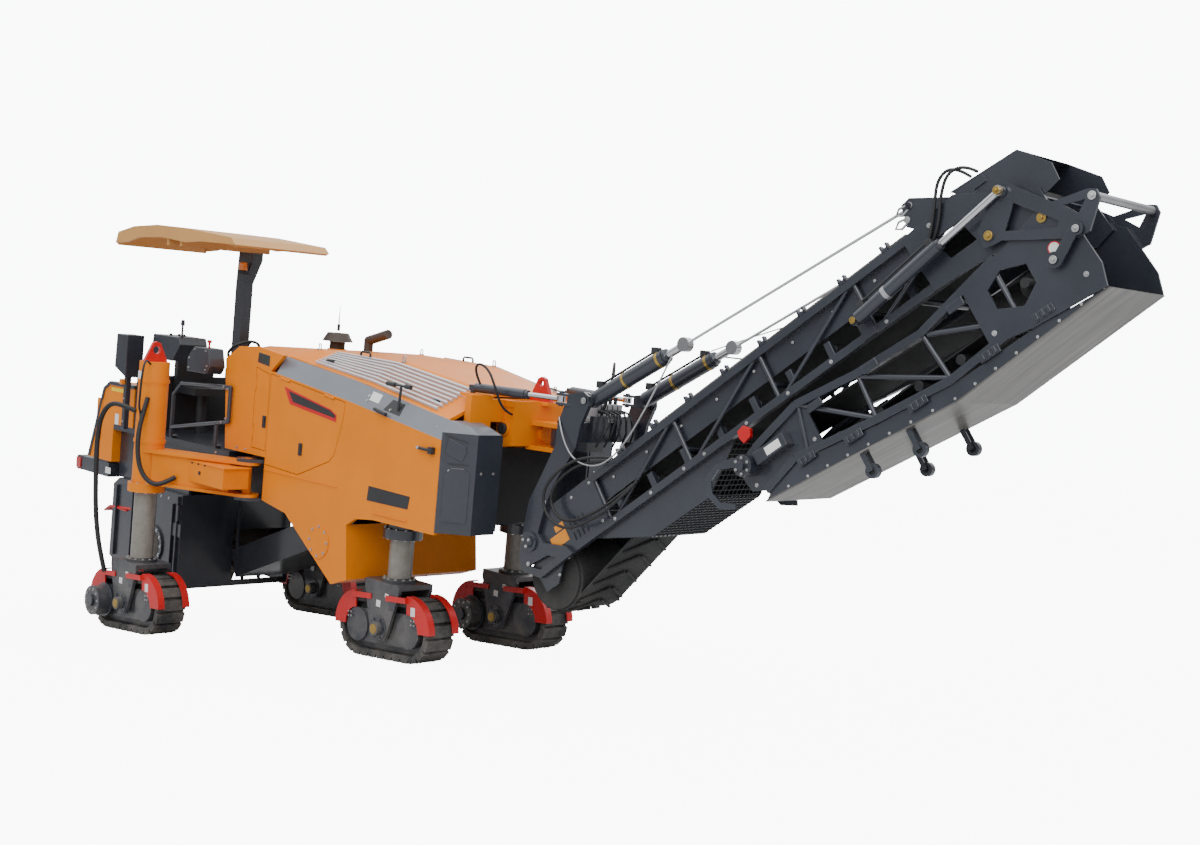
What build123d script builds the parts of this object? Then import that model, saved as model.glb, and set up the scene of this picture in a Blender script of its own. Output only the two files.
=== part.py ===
from build123d import *
import math
import os

# Cold planer on four crawler tracks, millimetres.
# World frame: +X to the front (conveyor), +Y left, +Z up, ground at Z 0, front yoke pins at X 0.
# Machine frame: the same axes with the machine level. The rear legs stand taller, so the whole
# body is pitched nose-down by BODY_PITCH about the front yoke pins, while the tracks lie flat.

# ---- stance -------------------------------------------------------------------------------
BODY_PITCH = 5.8          # degrees, nose down
PIN_HEIGHT = 290.0        # yoke pins above the ground
WHEELBASE = 3100.0
TRACK_GAUGE = 1430.0
SWUNG_LEG_Y = -1615.0     # rear right leg in its outer working place
CONVEYOR_SLEW = 2.7       # degrees, rest angle of the discharge conveyor

# ---- tracks and legs ----------------------------------------------------------------------
TRACK_LENGTH = 1330.0
TRACK_HEIGHT = 575.0
TRACK_WIDTH = 300.0
SHOE_COUNT = 26
PAD_HEIGHT = 34.0
LOOP_THICKNESS = 34.0
COLUMN_RADIUS = 112.0
COLUMN_TOP = 1500.0
FLANGE_Z = 1120.0
FLANGE_HEIGHT = 90.0
HOUSING_RADIUS = 150.0
HOUSING_GAP = 1.0
YOKE_RISE = 430.0         # yoke top plate above the pin
YOKE_PLATE = 34.0
YOKE_GAP = 12.0
PIN_RADIUS = 62.0
PIN_OUT = 60.0
FRAME_GAP = 3.0
MOTOR_RADIUS = 150.0
MOTOR_OUT = 170.0
GUARD_GAP = 25.0
GUARD_PLATE = 12.0
GUARD_WEB = 150.0
GUARD_FLANGE = 60.0       # how far each flange reaches over the shoes
GUARD_REACH = 330.0
HOUSING_TOP = 1900.0
FLANGE_OUT = 35.0
SWUNG_POST_BANDS = (1620.0, 2230.0)
ARM_LOW = 1210.0
ARM_HIGH = 1530.0
RAIL_RADIUS = 20.0
EYE_RADIUS = 40.0
FRONT_EYE = (932.0, 2662.0)
FRONT_EYE_RADIUS = 28.0
HOOD_LIP = 40.0
HOOD_SHEET = 25.0
BAND_SHEET = 20.0
COVER_SHEET = 25.0
PICK_LEAN = 0.0
GRILLE_X = (-1300.0, -390.0, 560.0)
GRILLE_SLATS = 8
EXHAUST = (-1712.0, 0.0)
PRECLEANER = (-2250.0, 0.0)
TROUGH_FROM = (-3330.0, 260.0)
TROUGH_TO = (600.0, 1840.0)
TROUGH_DEPTH = 300.0
SWUNG_POST_TOP = 2440.0
SWING_PIVOT = (-2040.0, -1110.0)
SWING_HUB = 130.0
SWING_PIN = 45.0
PIN_GAP = 0.5

# ---- body ---------------------------------------------------------------------------------
BODY_HALF = 1050.0
SKIN = 40.0
DOOR_SHEET = 25.0
KNUCKLE = 12.0
KNUCKLE_PIN = 5.0
NOSE_X = 1065.0
CORNER = 225.0
BAND_IN = 100.0           # how far the grey band leans inwards
SEAM = 7.0                # gap around doors and covers
WEB = 30.0                # chassis plate
INNER_WEB = 430.0         # inner faces of the chassis webs
OUTER_WEB = BODY_HALF - 130
DECK_Z = 1540.0
DECK_PLATE = 60.0
DECK_REAR = -4900.0
STATION_FRONT = -2450.0   # rear wall of the engine bay
NOSE_GAP = 530.0          # half width of the recess in the nose
TROUGH_HALF = 370.0

# ---- milling drum -------------------------------------------------------------------------
DRUM_X = -3950.0
DRUM_Z = 400.0
DRUM_RADIUS = 360.0       # shell
PICK_RADIUS = 490.0       # over the pick tips
DRUM_WIDTH = 1300.0
DRUM_RIGHT = -960.0
DRUM_SHELL = 40.0
PICK_COUNT = 54
PICK_TURNS = 2.5          # turns of each half of the pick spiral
DRUM_SIDE_GAP = 12.0
HOUSING_WALL = 30.0
HOUSING_FRONT = -3400.0
HOUSING_REAR = -4900.0
HOUSING_TOP_Z = 1010.0
HUB_RADIUS = 150.0

# ---- discharge conveyor -------------------------------------------------------------------
SLEW_X = 1250.0           # slewing pin in the machine frame
SLEW_PIN = 60.0
BOOM_ANGLE = 37.0         # degrees above the machine's deck
BOOM_ROOT = (2030.0, 1486.0)   # machine X, Z of the boom frame's origin
BOOM_PIVOT = (-606.0, 243.0)   # lift pin, boom frame
BOOM_PIN = 50.0
BOOM_START = -480.0
BOOM_END = 4400.0
BOOM_Y = 375.0            # chord centres
CHORD = 60.0
CHORD_LOW = -30.0
CHORD_HIGH = 385.0
POSTS = (270.0, 1260.0, 2250.0, 3240.0)
POST_RADIUS = 20.0
BELT_HALF = 300.0
BELT = 14.0
TAIL = (-600.0, -110.0, 295.0)   # tail drum over its belt: boom X, Z, radius
RETURN_ROLLER = (1500.0, 0.0)
HEAD_DRUM = (4560.0, 170.0, 120.0)
FOLD_PIN = (4730.0, -100.0)
CRANK_PIN = (4360.0, 6.0)
ROD_PIN = (4590.0, 210.0)
LINK_PINS = ((4910.0, -322.0), (4680.0, -412.0))   # on the crank, on the head
CROSSBAR = (5100.0, -190.0)
FOLD_FOOT = (3194.0, 71.0)
END_PLATE_Y = 405.0       # inner faces of the stacked plates at the fold
ROOT_PLATE_Y = 435.0
CRANK_Y = 465.0
LINK_Y = 495.0
FOLD_CYLINDER_Y = 525.0
PLATE = 20.0
HEAD_Y = 425.0            # chord centres of the folding head
HEAD_TAIL = (1800.0, -350.0, 170.0)
HEAD_ROOT = (4400.0, -400.0, 90.0)
LIFT_Y = 320.0
LIFT_TOP = (1870.0, 2600.0)    # machine frame
LIFT_EYE = 1099.0         # rod eye from the top pin
ROPE_EYE = (3900.0, 600.0)     # boom frame
LIFT_BARREL = 68.0
LIFT_ROD = 34.0
SLEW_FOOT = (680.0, 600.0)     # slew cylinder's foot pin, machine X, Y
SLEW_EYE = (1600.0, 430.0)     # its rod eye on the slew frame
SLEW_CYLINDER_Z = 2585.0

parts = {}


# ---- helpers ------------------------------------------------------------------------------
def block(x0, x1, y0, y1, z0, z1):
    size = (abs(x1 - x0), abs(y1 - y0), abs(z1 - z0))
    centre = ((x0 + x1) / 2, (y0 + y1) / 2, (z0 + z1) / 2)
    return Pos(*centre) * Box(*size)


def plate_xz(points, y0, y1, grow=0):
    """Flat plate with an X-Z outline, from y0 up to y1, its outline grown by a gap."""
    outline = Polygon(*points, align=None)
    if grow:
        outline = offset(outline, grow, kind=Kind.INTERSECTION)
    return extrude(Plane((0, y0, 0), x_dir=(1, 0, 0), z_dir=(0, -1, 0)) * outline, y1 - y0, dir=(0, 1, 0))


def plate_yz(points, x0, x1):
    outline = Plane((x0, 0, 0), x_dir=(0, 1, 0), z_dir=(1, 0, 0)) * Polygon(*points, align=None)
    return extrude(outline, x1 - x0, dir=(1, 0, 0))


def plate_xy(points, z0, z1):
    return extrude(Pos(0, 0, z0) * Polygon(*points, align=None), z1 - z0, dir=(0, 0, 1))


def bar(start, end, radius):
    """Round bar between two points."""
    path = Vector(*end) - Vector(*start)
    return extrude(Plane(Vector(*start), z_dir=path) * Circle(radius), path.length)


def square_bar(start, end, width, height=None):
    """Box section between two points of one X-Z plane, its width along Y."""
    path = Vector(*end) - Vector(*start)
    section = Plane(Vector(*start), x_dir=(0, 1, 0), z_dir=path)
    return extrude(section * Rectangle(width, height or width), path.length)


def disc_y(x, z, radius, y0, y1):
    return bar((x, min(y0, y1), z), (x, max(y0, y1), z), radius)


def disc_z(x, y, radius, z0, z1):
    return Pos(x, y, (z0 + z1) / 2) * Cylinder(radius, abs(z1 - z0))


def mirror_y(shape):
    return mirror(shape, about=Plane.XZ)


def both_sides(shape):
    return shape + mirror_y(shape)


def machine(shape):
    """Machine frame to world frame."""
    return shape.rotate(Axis((0, 0, PIN_HEIGHT), (0, 1, 0)), BODY_PITCH)


def slewed(shape):
    """Conveyor at zero slew, machine frame, to world frame."""
    return machine(shape.rotate(Axis((SLEW_X, 0, 0), (0, 0, 1)), CONVEYOR_SLEW))


def boom(shape):
    """Boom's own frame (X along the boom, Z across its chords) to world frame."""
    raised = shape.rotate(Axis((0, 0, 0), (0, 1, 0)), -BOOM_ANGLE)
    return slewed(Pos(BOOM_ROOT[0], 0, BOOM_ROOT[1]) * raised)


def add(name, shape, place=machine):
    parts[name] = place(shape)


# ---- legs and tracks ----------------------------------------------------------------------
def loop_point(distance, radius, flat):
    """Point and outward normal at a distance round a stadium of two half circles."""
    arc = math.pi * radius
    distance %= 2 * (flat + arc)
    if distance < flat:
        return (-flat / 2 + distance, radius), (0.0, 1.0)
    distance -= flat
    if distance < arc:
        turn = math.pi / 2 - distance / radius
        normal = (math.cos(turn), math.sin(turn))
        return (flat / 2 + radius * normal[0], radius * normal[1]), normal
    distance -= arc
    if distance < flat:
        return (flat / 2 - distance, -radius), (0.0, -1.0)
    distance -= flat
    turn = -math.pi / 2 - distance / radius
    normal = (math.cos(turn), math.sin(turn))
    return (-flat / 2 + radius * normal[0], radius * normal[1]), normal


def track_loop(x, y):
    """Closed loop of links with a pad on each shoe, in the shoes' own outline."""
    outer = TRACK_HEIGHT / 2 - PAD_HEIGHT
    flat = TRACK_LENGTH - TRACK_HEIGHT
    pitch = 2 * (flat + math.pi * outer) / SHOE_COUNT
    outline = []
    for shoe in range(SHOE_COUNT):
        for share, height in ((0.06, 0.0), (0.12, PAD_HEIGHT), (0.86, PAD_HEIGHT), (0.92, 0.0)):
            point, normal = loop_point((shoe + share) * pitch, outer, flat)
            outline.append((point[0] + height * normal[0], point[1] + height * normal[1]))
    ring = plate_xz(outline, -TRACK_WIDTH / 2, TRACK_WIDTH / 2)
    inner = outer - LOOP_THICKNESS
    hollow = Plane.XZ * SlotCenterToCenter(flat, 2 * inner)
    ring -= extrude(hollow, TRACK_WIDTH, both=True)
    low = ring.bounding_box().min.Z
    return Pos(x, y, -low) * ring


def to_machine(x, z):
    """X, Z of a world point in the machine frame."""
    turn = math.radians(BODY_PITCH)
    rise = z - PIN_HEIGHT
    return (x * math.cos(turn) - rise * math.sin(turn),
            x * math.sin(turn) + rise * math.cos(turn) + PIN_HEIGHT)


def track_frame(x, y, outside):
    """Track frame with rollers, sprocket, idler and drive motor, level on the ground."""
    flat = TRACK_LENGTH - TRACK_HEIGHT
    inner = TRACK_HEIGHT / 2 - PAD_HEIGHT - LOOP_THICKNESS - FRAME_GAP
    half = TRACK_WIDTH / 2
    body = extrude(Plane.XZ * SlotCenterToCenter(flat, 2 * inner), half - 70, both=True)
    body += extrude(Plane.XZ * SlotCenterToCenter(flat - 60, 2 * inner - 130), half - 12, both=True)
    for wheel_x in (-flat / 2, flat / 2):
        body += disc_y(wheel_x, 0, inner - 60, -half - 8, half + 8)
    body += disc_y(-flat / 2, 0, MOTOR_RADIUS, outside * half, outside * (half + MOTOR_OUT))
    pin_half = half + YOKE_GAP + YOKE_PLATE + PIN_OUT
    body += disc_y(0, 0, PIN_RADIUS, -pin_half, pin_half)
    return Pos(x, y, PIN_HEIGHT) * body


def yoke(x, y):
    """Fork over the track: top plate and two cheeks down to the pin, square to the column."""
    pin_x, pin_z = to_machine(x, PIN_HEIGHT)
    top = pin_z + YOKE_RISE
    shift = TRACK_WIDTH / 2 + YOKE_GAP
    outline = [(-235, top), (-255, top - 60), (-150, pin_z + 40), (-95, pin_z - 95),
               (95, pin_z - 95), (150, pin_z + 40), (255, top - 60), (235, top)]
    cheek = plate_xz([(pin_x + dx, z) for dx, z in outline], shift, shift + YOKE_PLATE)
    cap = block(pin_x - 250, pin_x + 250, -shift - YOKE_PLATE, shift + YOKE_PLATE, top - 45, top)
    cap += disc_z(pin_x, 0, COLUMN_RADIUS + 45, top, top + 25)
    return Pos(0, y, 0) * (both_sides(cheek) + cap)


def guard(x, y, end):
    """Curved red guard over one end of a track, on its outer edge and round the shoes."""
    flat = TRACK_LENGTH - TRACK_HEIGHT
    outer = TRACK_HEIGHT / 2 + GUARD_GAP
    ring = Plane.XZ * (Circle(outer + GUARD_PLATE) - Circle(outer))
    quarter = Plane.XZ * (Pos(GUARD_REACH / 2, GUARD_REACH / 2) * Rectangle(GUARD_REACH, GUARD_REACH))
    half = TRACK_WIDTH / 2 + YOKE_GAP
    flange = extrude(ring & quarter, GUARD_FLANGE)
    web = Plane.XZ * (Circle(outer + GUARD_PLATE) - Circle(outer - GUARD_WEB))
    web = extrude(web & quarter, GUARD_PLATE)
    arc = both_sides(Pos(0, half, 0) * flange + Pos(0, half + GUARD_PLATE, 0) * web)
    arc = Pos(flat / 2, 0, 0) * arc
    face = half + YOKE_PLATE
    low, high = TRACK_HEIGHT / 2 - GUARD_WEB + 125, TRACK_HEIGHT / 2 + GUARD_GAP
    strap = block(110, flat / 2 + 22, face, face + GUARD_PLATE, low, high)
    strap += block(flat / 2, flat / 2 + 22, half + GUARD_PLATE, face, low, high)
    arc += both_sides(strap)
    if end < 0:
        arc = mirror(arc, about=Plane.YZ)
    return Pos(x, y, TRACK_HEIGHT / 2) * arc


# name, world X of the pin, Y, side of the drive motor
LEGS = (
    ("front_right", 0.0, -TRACK_GAUGE / 2, 1),
    ("front_left", 0.0, TRACK_GAUGE / 2, -1),
    ("rear_right", -WHEELBASE, SWUNG_LEG_Y, -1),
    ("rear_left", -WHEELBASE, TRACK_GAUGE / 2, 1),
)


def make_legs():
    for name, x, y, outside in LEGS:
        pin_x, pin_z = to_machine(x, PIN_HEIGHT)
        add("track_" + name, track_loop(x, y), place=lambda shape: shape)
        column = disc_z(pin_x, y, COLUMN_RADIUS, pin_z + YOKE_RISE, COLUMN_TOP)
        carrier = track_frame(x, y, outside) + machine(yoke(x, y) + column)
        add("leg_" + name, carrier, place=lambda shape: shape)
        guards = guard(x, y, 1) + guard(x, y, -1)
        add("track_guards_" + name, guards, place=lambda shape: shape)


def leg_housing(x, y, top):
    """Flanged tube that the column slides in."""
    tube = disc_z(x, y, HOUSING_RADIUS, FLANGE_Z, top)
    tube += disc_z(x, y, HOUSING_RADIUS + FLANGE_OUT, FLANGE_Z, FLANGE_Z + FLANGE_HEIGHT)
    return tube - disc_z(x, y, COLUMN_RADIUS + HOUSING_GAP, FLANGE_Z, COLUMN_TOP + 10)


def make_swing_arm():
    """Rear right leg's post on its swing arm, with the arm's lugs left on the chassis."""
    post_x = to_machine(-WHEELBASE, PIN_HEIGHT)[0]
    pivot_x, pivot_y = SWING_PIVOT
    post = leg_housing(post_x, SWUNG_LEG_Y, SWUNG_POST_TOP)
    for z in SWUNG_POST_BANDS:
        post += disc_z(post_x, SWUNG_LEG_Y, HOUSING_RADIUS + 10, z, z + 30)
    reach = math.hypot(pivot_x - post_x, pivot_y - SWUNG_LEG_Y)
    bearing = math.degrees(math.atan2(pivot_y - SWUNG_LEG_Y, pivot_x - post_x))
    arm = block(HOUSING_RADIUS - 30, reach - SWING_HUB - 10, -110, 110, ARM_LOW + WEB, ARM_HIGH)
    for z in (ARM_LOW, ARM_HIGH):
        arm += plate_xy([(0, -HOUSING_RADIUS), (reach, -SWING_HUB), (reach, SWING_HUB), (0, HOUSING_RADIUS)], z, z + WEB)
        arm += disc_z(reach, 0, SWING_HUB, z, z + WEB)
    arm += disc_z(reach, 0, SWING_PIN, ARM_LOW - WEB, ARM_HIGH + 2 * WEB)
    arm = Pos(post_x, SWUNG_LEG_Y, 0) * arm.rotate(Axis.Z, bearing)
    bore = disc_z(post_x, SWUNG_LEG_Y, COLUMN_RADIUS + HOUSING_GAP, FLANGE_Z, COLUMN_TOP + 10)
    add("swing_arm", post + arm - bore)


# ---- body ---------------------------------------------------------------------------------
# side outline in the machine frame, X and Z
DECK_CORNER = [(-2580, 1625), (-1845, 1625), (-1845, 1200), (-1430, 1135)]
SKIRT = [(-600, 593), (-360, 677)]
SILL = [(-430, 1180), (-300, 1258), (-40, 1290), (840, 1298)]
SHOULDER = [(840, 2130), (-580, 2327), (-1850, 2478), (-1640, 2650), (-2110, 2700), (-2440, 2676), (-2680, 2530)]
SERVICE_DOOR = [(-1835, 1560), (-1270, 1535), (-775, 1730), (-705, 1800), (-605, 2140), (-590, 2300), (-1835, 2448)]
SMALL_DOOR = [(-2100, 1700), (-1860, 1690), (-1860, 2440), (-2100, 2490)]
ROUND_COVER = (-840, 960, 165)
# hood sections: machine X, rim Z, crown Z, half width of the crown
HOOD = [(STATION_FRONT, 2640, 2695, 700), (-1640, 2636, 2730, 640), (-390, 2490, 2720, 560), (780, 2300, 2540, 420)]


def knuckles(start, end, shares):
    """Hinge knuckles along an edge: the leaf's tubes, the frame's tubes with their pins, and what each cuts away."""
    path = Vector(*end) - Vector(*start)
    along = path.normalized()
    leaf = frame = leaf_cut = frame_cut = None
    for share in shares:
        middle = Vector(*start) + path * share
        tube = bar(middle - along * 35, middle + along * 35, KNUCKLE) - bar(middle - along * 40, middle + along * 40, KNUCKLE_PIN + PIN_GAP)
        ends = bar(middle - along * 75, middle - along * 36, KNUCKLE) + bar(middle + along * 36, middle + along * 75, KNUCKLE)
        ends += bar(middle - along * 75, middle + along * 75, KNUCKLE_PIN)
        around = bar(middle - along * 36, middle + along * 36, KNUCKLE + 2)
        beside = bar(middle - along * 81, middle + along * 81, KNUCKLE + 5) - bar(middle - along * 35.5, middle + along * 35.5, 3 * KNUCKLE)
        beside += bar(middle - along * 81, middle + along * 81, KNUCKLE_PIN + PIN_GAP)
        leaf = tube if leaf is None else leaf + tube
        frame = ends if frame is None else frame + ends
        leaf_cut = beside if leaf_cut is None else leaf_cut + beside
        frame_cut = around if frame_cut is None else frame_cut + around
    return leaf, frame, leaf_cut, frame_cut


def side_panel(outline, doors):
    panel = plate_xz(outline, -BODY_HALF, -BODY_HALF + SKIN)
    for door in doors:
        panel -= plate_xz(door, -BODY_HALF - 5, -BODY_HALF + SKIN + 5, grow=SEAM)
    shelf = [(STATION_FRONT, 2600), (-1800, 2600), (-1765, 2650), (-2110, 2688), (STATION_FRONT, 2664)]
    return panel + plate_xz(shelf, -BODY_HALF + SKIN, -BODY_HALF + BAND_IN)


def belly_pan():
    """Folded plate under the collecting conveyor, between the right skirt and the left sill."""
    fold = [(-1430, 1140), (-600, 600), (-360, 682), (-430, 1182), (-465, 1178), (-397, 706), (-590, 638),
            (-1412, 1172)]
    pan = plate_xz(fold, -BODY_HALF + SKIN, NOSE_GAP)
    pan -= block(-1500, -1000, -TROUGH_HALF - 30, TROUGH_HALF + 30, 600, 1300)
    return pan


def make_sides():
    x, z, radius = ROUND_COVER
    right = side_panel(DECK_CORNER + SKIRT + SILL + SHOULDER, (SERVICE_DOOR, SMALL_DOOR))
    right += disc_y(x, z, radius, -BODY_HALF - 8, -BODY_HALF)
    left = side_panel(DECK_CORNER + SILL + SHOULDER, (SERVICE_DOOR,))
    top = [(x, -BODY_HALF, z) for x, z in SERVICE_DOOR[-2:]]
    leaf, frame, leaf_cut, frame_cut = knuckles(top[0], top[1], (0.2, 0.8))
    rear = min(x for x, z in SMALL_DOOR)
    leaf_2, frame_2, leaf_cut_2, frame_cut_2 = knuckles((rear, -BODY_HALF, 1750), (rear, -BODY_HALF, 2450), (0.15, 0.85))
    right = right - frame_cut - frame_cut_2 + frame + frame_2
    left = left - frame_cut + frame
    add("side_shells", right + mirror_y(left) + belly_pan())
    door = plate_xz(SERVICE_DOOR, -BODY_HALF, -BODY_HALF + DOOR_SHEET) - leaf_cut + leaf
    add("service_door_right", door)
    add("service_door_left", mirror_y(door))
    add("small_door", plate_xz(SMALL_DOOR, -BODY_HALF, -BODY_HALF + DOOR_SHEET) - leaf_cut_2 + leaf_2)


def hood_section(row, inset):
    x, rim_z, crown, half = row
    rim = BODY_HALF - BAND_IN - SEAM - inset
    low = rim_z - HOOD_LIP - (HOOD_LIP if inset else 0)
    points = [(-rim, low), (rim, low), (rim, rim_z - inset), (half, crown - inset), (-half, crown - inset),
              (-rim, rim_z - inset)]
    return Plane((x, 0, 0), x_dir=(0, 1, 0), z_dir=(1, 0, 0)) * Polygon(*points, align=None)


def make_hood():
    """Hood of folded sheet, open underneath, with the outlet of the cooler in its top."""
    spans = list(zip(HOOD, HOOD[1:]))
    hood = None
    for inset in (0, HOOD_SHEET):
        for front, rear in spans:
            span = loft([hood_section(front, inset), hood_section(rear, inset)], ruled=True)
            hood = span if hood is None else (hood + span if inset == 0 else hood - span)
    wall = [(-940, DECK_Z + DECK_PLATE + 1), (940, DECK_Z + DECK_PLATE + 1), (940, 2635), (-940, 2635)]
    hood += plate_yz(wall, STATION_FRONT - SKIN, STATION_FRONT)
    hood += disc_z(*PRECLEANER, 100, 2665, 2712) + disc_z(*EXHAUST, 60, 2690, 2734)
    add("hood", hood)


def make_bands():
    """Grey bands that lean in from the side panels to the hood, and the front corner covers."""
    sections = []
    for x, high in ((-1750, 2637), (-580, 2512), (840, 2300)):
        (x0, z0), (x1, z1) = SHOULDER[0:2] if x > -580 else SHOULDER[1:3]
        low = z0 + (x - x0) / (x1 - x0) * (z1 - z0)
        points = [(-BODY_HALF, low), (-BODY_HALF + BAND_IN, high), (-BODY_HALF + BAND_IN, high - BAND_SHEET),
                  (-BODY_HALF + BAND_SHEET, low)]
        sections.append(Plane((x, 0, 0), x_dir=(0, 1, 0), z_dir=(1, 0, 0)) * Polygon(*points, align=None))
    bands = loft(sections[:2], ruled=True) + loft(sections[1:], ruled=True)
    add("grey_bands", both_sides(bands))
    chamfer = [(845, -BODY_HALF), (NOSE_X, -BODY_HALF + CORNER), (NOSE_X, -NOSE_GAP - 25), (845, -NOSE_GAP - 25)]
    cover = plate_xy(chamfer, 1320, 2200) - Pos(-COVER_SHEET, COVER_SHEET * 0.6, 0) * plate_xy(
        [(700, -BODY_HALF - 100), (845, -BODY_HALF), (NOSE_X, -BODY_HALF + CORNER), (NOSE_X, -NOSE_GAP - 100),
         (700, -NOSE_GAP - 100)], 1320 + COVER_SHEET, 2200 - COVER_SHEET)
    add("corner_covers", both_sides(cover))


def make_chassis():
    web = [(DECK_REAR, HOUSING_TOP_Z + 0.3), (-3380, HOUSING_TOP_Z + 0.3), (-3380, 1230), (-1500, 1230), (-1400, 1335),
           (780, 1335), (780, 2050), (-500, 2050), (-2400, DECK_Z), (DECK_REAR, DECK_Z)]
    frame = plate_xz(web, INNER_WEB, INNER_WEB + WEB) + plate_xz(web, OUTER_WEB, OUTER_WEB + WEB)
    frame = both_sides(frame)
    # cross plates: X, low Z, high Z
    for x, low, high in ((-4860, 1100, 1500), (-3420, 1100, 1500), (-2500, 1240, 1500), (-1480, 1340, 1640),
                         (250, 1345, 1500), (740, 1345, 1500)):
        frame += block(x, x + WEB, -OUTER_WEB, OUTER_WEB, low, high)
    pivot_x, pivot_y = SWING_PIVOT
    lugs = None
    for z in (ARM_LOW - WEB - 1, ARM_HIGH + WEB + 1):
        lug = plate_xy([(pivot_x - 160, -OUTER_WEB - WEB), (pivot_x - 120, pivot_y - 60), (pivot_x, pivot_y - SWING_HUB),
                        (pivot_x + 120, pivot_y - 60), (pivot_x + 190, -OUTER_WEB - WEB)], z, z + WEB)
        frame += lug
    frame += block(pivot_x - 160, pivot_x + 190, -OUTER_WEB - WEB, -OUTER_WEB, ARM_LOW - WEB - 1, 1231)
    frame -= disc_z(pivot_x, pivot_y, SWING_PIN + PIN_GAP, 1000, 1700)
    for sign in (-1, 1):
        frame += block(800, 840, sign * NOSE_GAP, sign * (BODY_HALF - SKIN), 1345, 2130)
        frame += block(840, NOSE_X - 10, sign * NOSE_GAP, sign * (NOSE_GAP + 20), 1345, 2190)
        frame += block(780, 800, sign * (OUTER_WEB + WEB), sign * INNER_WEB, 1345, 2050)
    for name, x, y, outside in LEGS[:2] + LEGS[3:]:
        leg_x = to_machine(x, PIN_HEIGHT)[0]
        frame += block(leg_x - 230, leg_x + 230, math.copysign(INNER_WEB + WEB, y), math.copysign(OUTER_WEB, y),
                       1345 if x == 0 else 1240, 1375 if x == 0 else 1270)
        frame += leg_housing(leg_x, y, HOUSING_TOP)
        frame -= disc_z(leg_x, y, COLUMN_RADIUS + HOUSING_GAP, FLANGE_Z, COLUMN_TOP + 10)
    add("chassis", frame)


def make_drum():
    right, left = DRUM_RIGHT, DRUM_RIGHT + DRUM_WIDTH
    drum = disc_y(DRUM_X, DRUM_Z, DRUM_RADIUS, right, left)
    drum -= disc_y(DRUM_X, DRUM_Z, DRUM_RADIUS - DRUM_SHELL, right + 100, left - 100)
    pick = Pos(0, 0, DRUM_RADIUS - 15) * Cone(36, 9, PICK_RADIUS - DRUM_RADIUS + 15,
                                              align=(Align.CENTER, Align.CENTER, Align.MIN))
    pick = Rot(0, PICK_LEAN, 0) * pick
    for index in range(PICK_COUNT):
        share = (index + 0.5) / PICK_COUNT
        spiral = abs(share - 0.5) * 2 * PICK_TURNS * 360
        y = right + 40 + share * (DRUM_WIDTH - 80)
        drum += Pos(DRUM_X, y, DRUM_Z) * (Rot(0, spiral, 0) * pick)
    for start, end in ((right - DRUM_SIDE_GAP - HOUSING_WALL - 25, right), (left, left + DRUM_SIDE_GAP + HOUSING_WALL + 25)):
        drum += disc_y(DRUM_X, DRUM_Z, HUB_RADIUS, start, end)
    add("milling_drum", drum)
    wall = HOUSING_WALL
    inner_right, inner_left = right - DRUM_SIDE_GAP, left + DRUM_SIDE_GAP
    outline = [(HOUSING_REAR, 120), (HOUSING_REAR, HOUSING_TOP_Z - 80), (HOUSING_REAR + 120, HOUSING_TOP_Z),
               (HOUSING_FRONT, HOUSING_TOP_Z), (HOUSING_FRONT, 0), (HOUSING_REAR + 300, 0)]
    housing = plate_xz(outline, inner_right - wall, inner_left + wall)
    room = [(HOUSING_REAR + wall, -20), (HOUSING_REAR + wall, HOUSING_TOP_Z - 90), (HOUSING_REAR + 130, HOUSING_TOP_Z - wall),
            (HOUSING_FRONT - wall, HOUSING_TOP_Z - wall), (HOUSING_FRONT - wall, -20)]
    housing -= plate_xz(room, inner_right, inner_left)
    housing -= block(HOUSING_FRONT - 60, HOUSING_FRONT + 10, -TROUGH_HALF + 20, inner_left - 30, 60, 620)
    housing -= disc_y(DRUM_X, DRUM_Z, HUB_RADIUS + PIN_GAP, inner_right - wall - 5, inner_left + wall + 5)
    for side, inner in ((-1, inner_right - wall), (1, inner_left + wall)):
        ring = disc_y(DRUM_X, DRUM_Z, HUB_RADIUS + 60, inner, inner + side * 20)
        housing += ring - disc_y(DRUM_X, DRUM_Z, HUB_RADIUS + PIN_GAP, inner - 30, inner + 30)
    add("drum_housing", housing)


def make_collecting_conveyor():
    """Trough with its side frames, and the belt that lies in it."""
    (x0, z0), (x1, z1) = TROUGH_FROM, TROUGH_TO
    trough = square_bar((x0, 0, z0), (x1, 0, z1), 2 * TROUGH_HALF, TROUGH_DEPTH)
    lift = 40
    trough -= square_bar((x0 - 200, 0, z0 - 81 + lift), (x1 + 200, 0, z1 + 81 + lift), 2 * TROUGH_HALF - 40,
                         TROUGH_DEPTH - 40)
    trough -= square_bar((x0 - 200, 0, z0 - 81 + 3 * lift), (x1 + 200, 0, z1 + 81 + 3 * lift), 2 * TROUGH_HALF - 40,
                         TROUGH_DEPTH)
    brackets = block(-520, -440, TROUGH_HALF, INNER_WEB, 1380, 1440) + block(380, 460, TROUGH_HALF, INNER_WEB, 1730, 1790)
    brackets += block(-3290, -3240, TROUGH_HALF, TROUGH_HALF + 15, 330, 1270) + block(-3290, -3240, TROUGH_HALF, INNER_WEB, 1240, 1270)
    add("collecting_trough", trough + both_sides(brackets))


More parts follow.
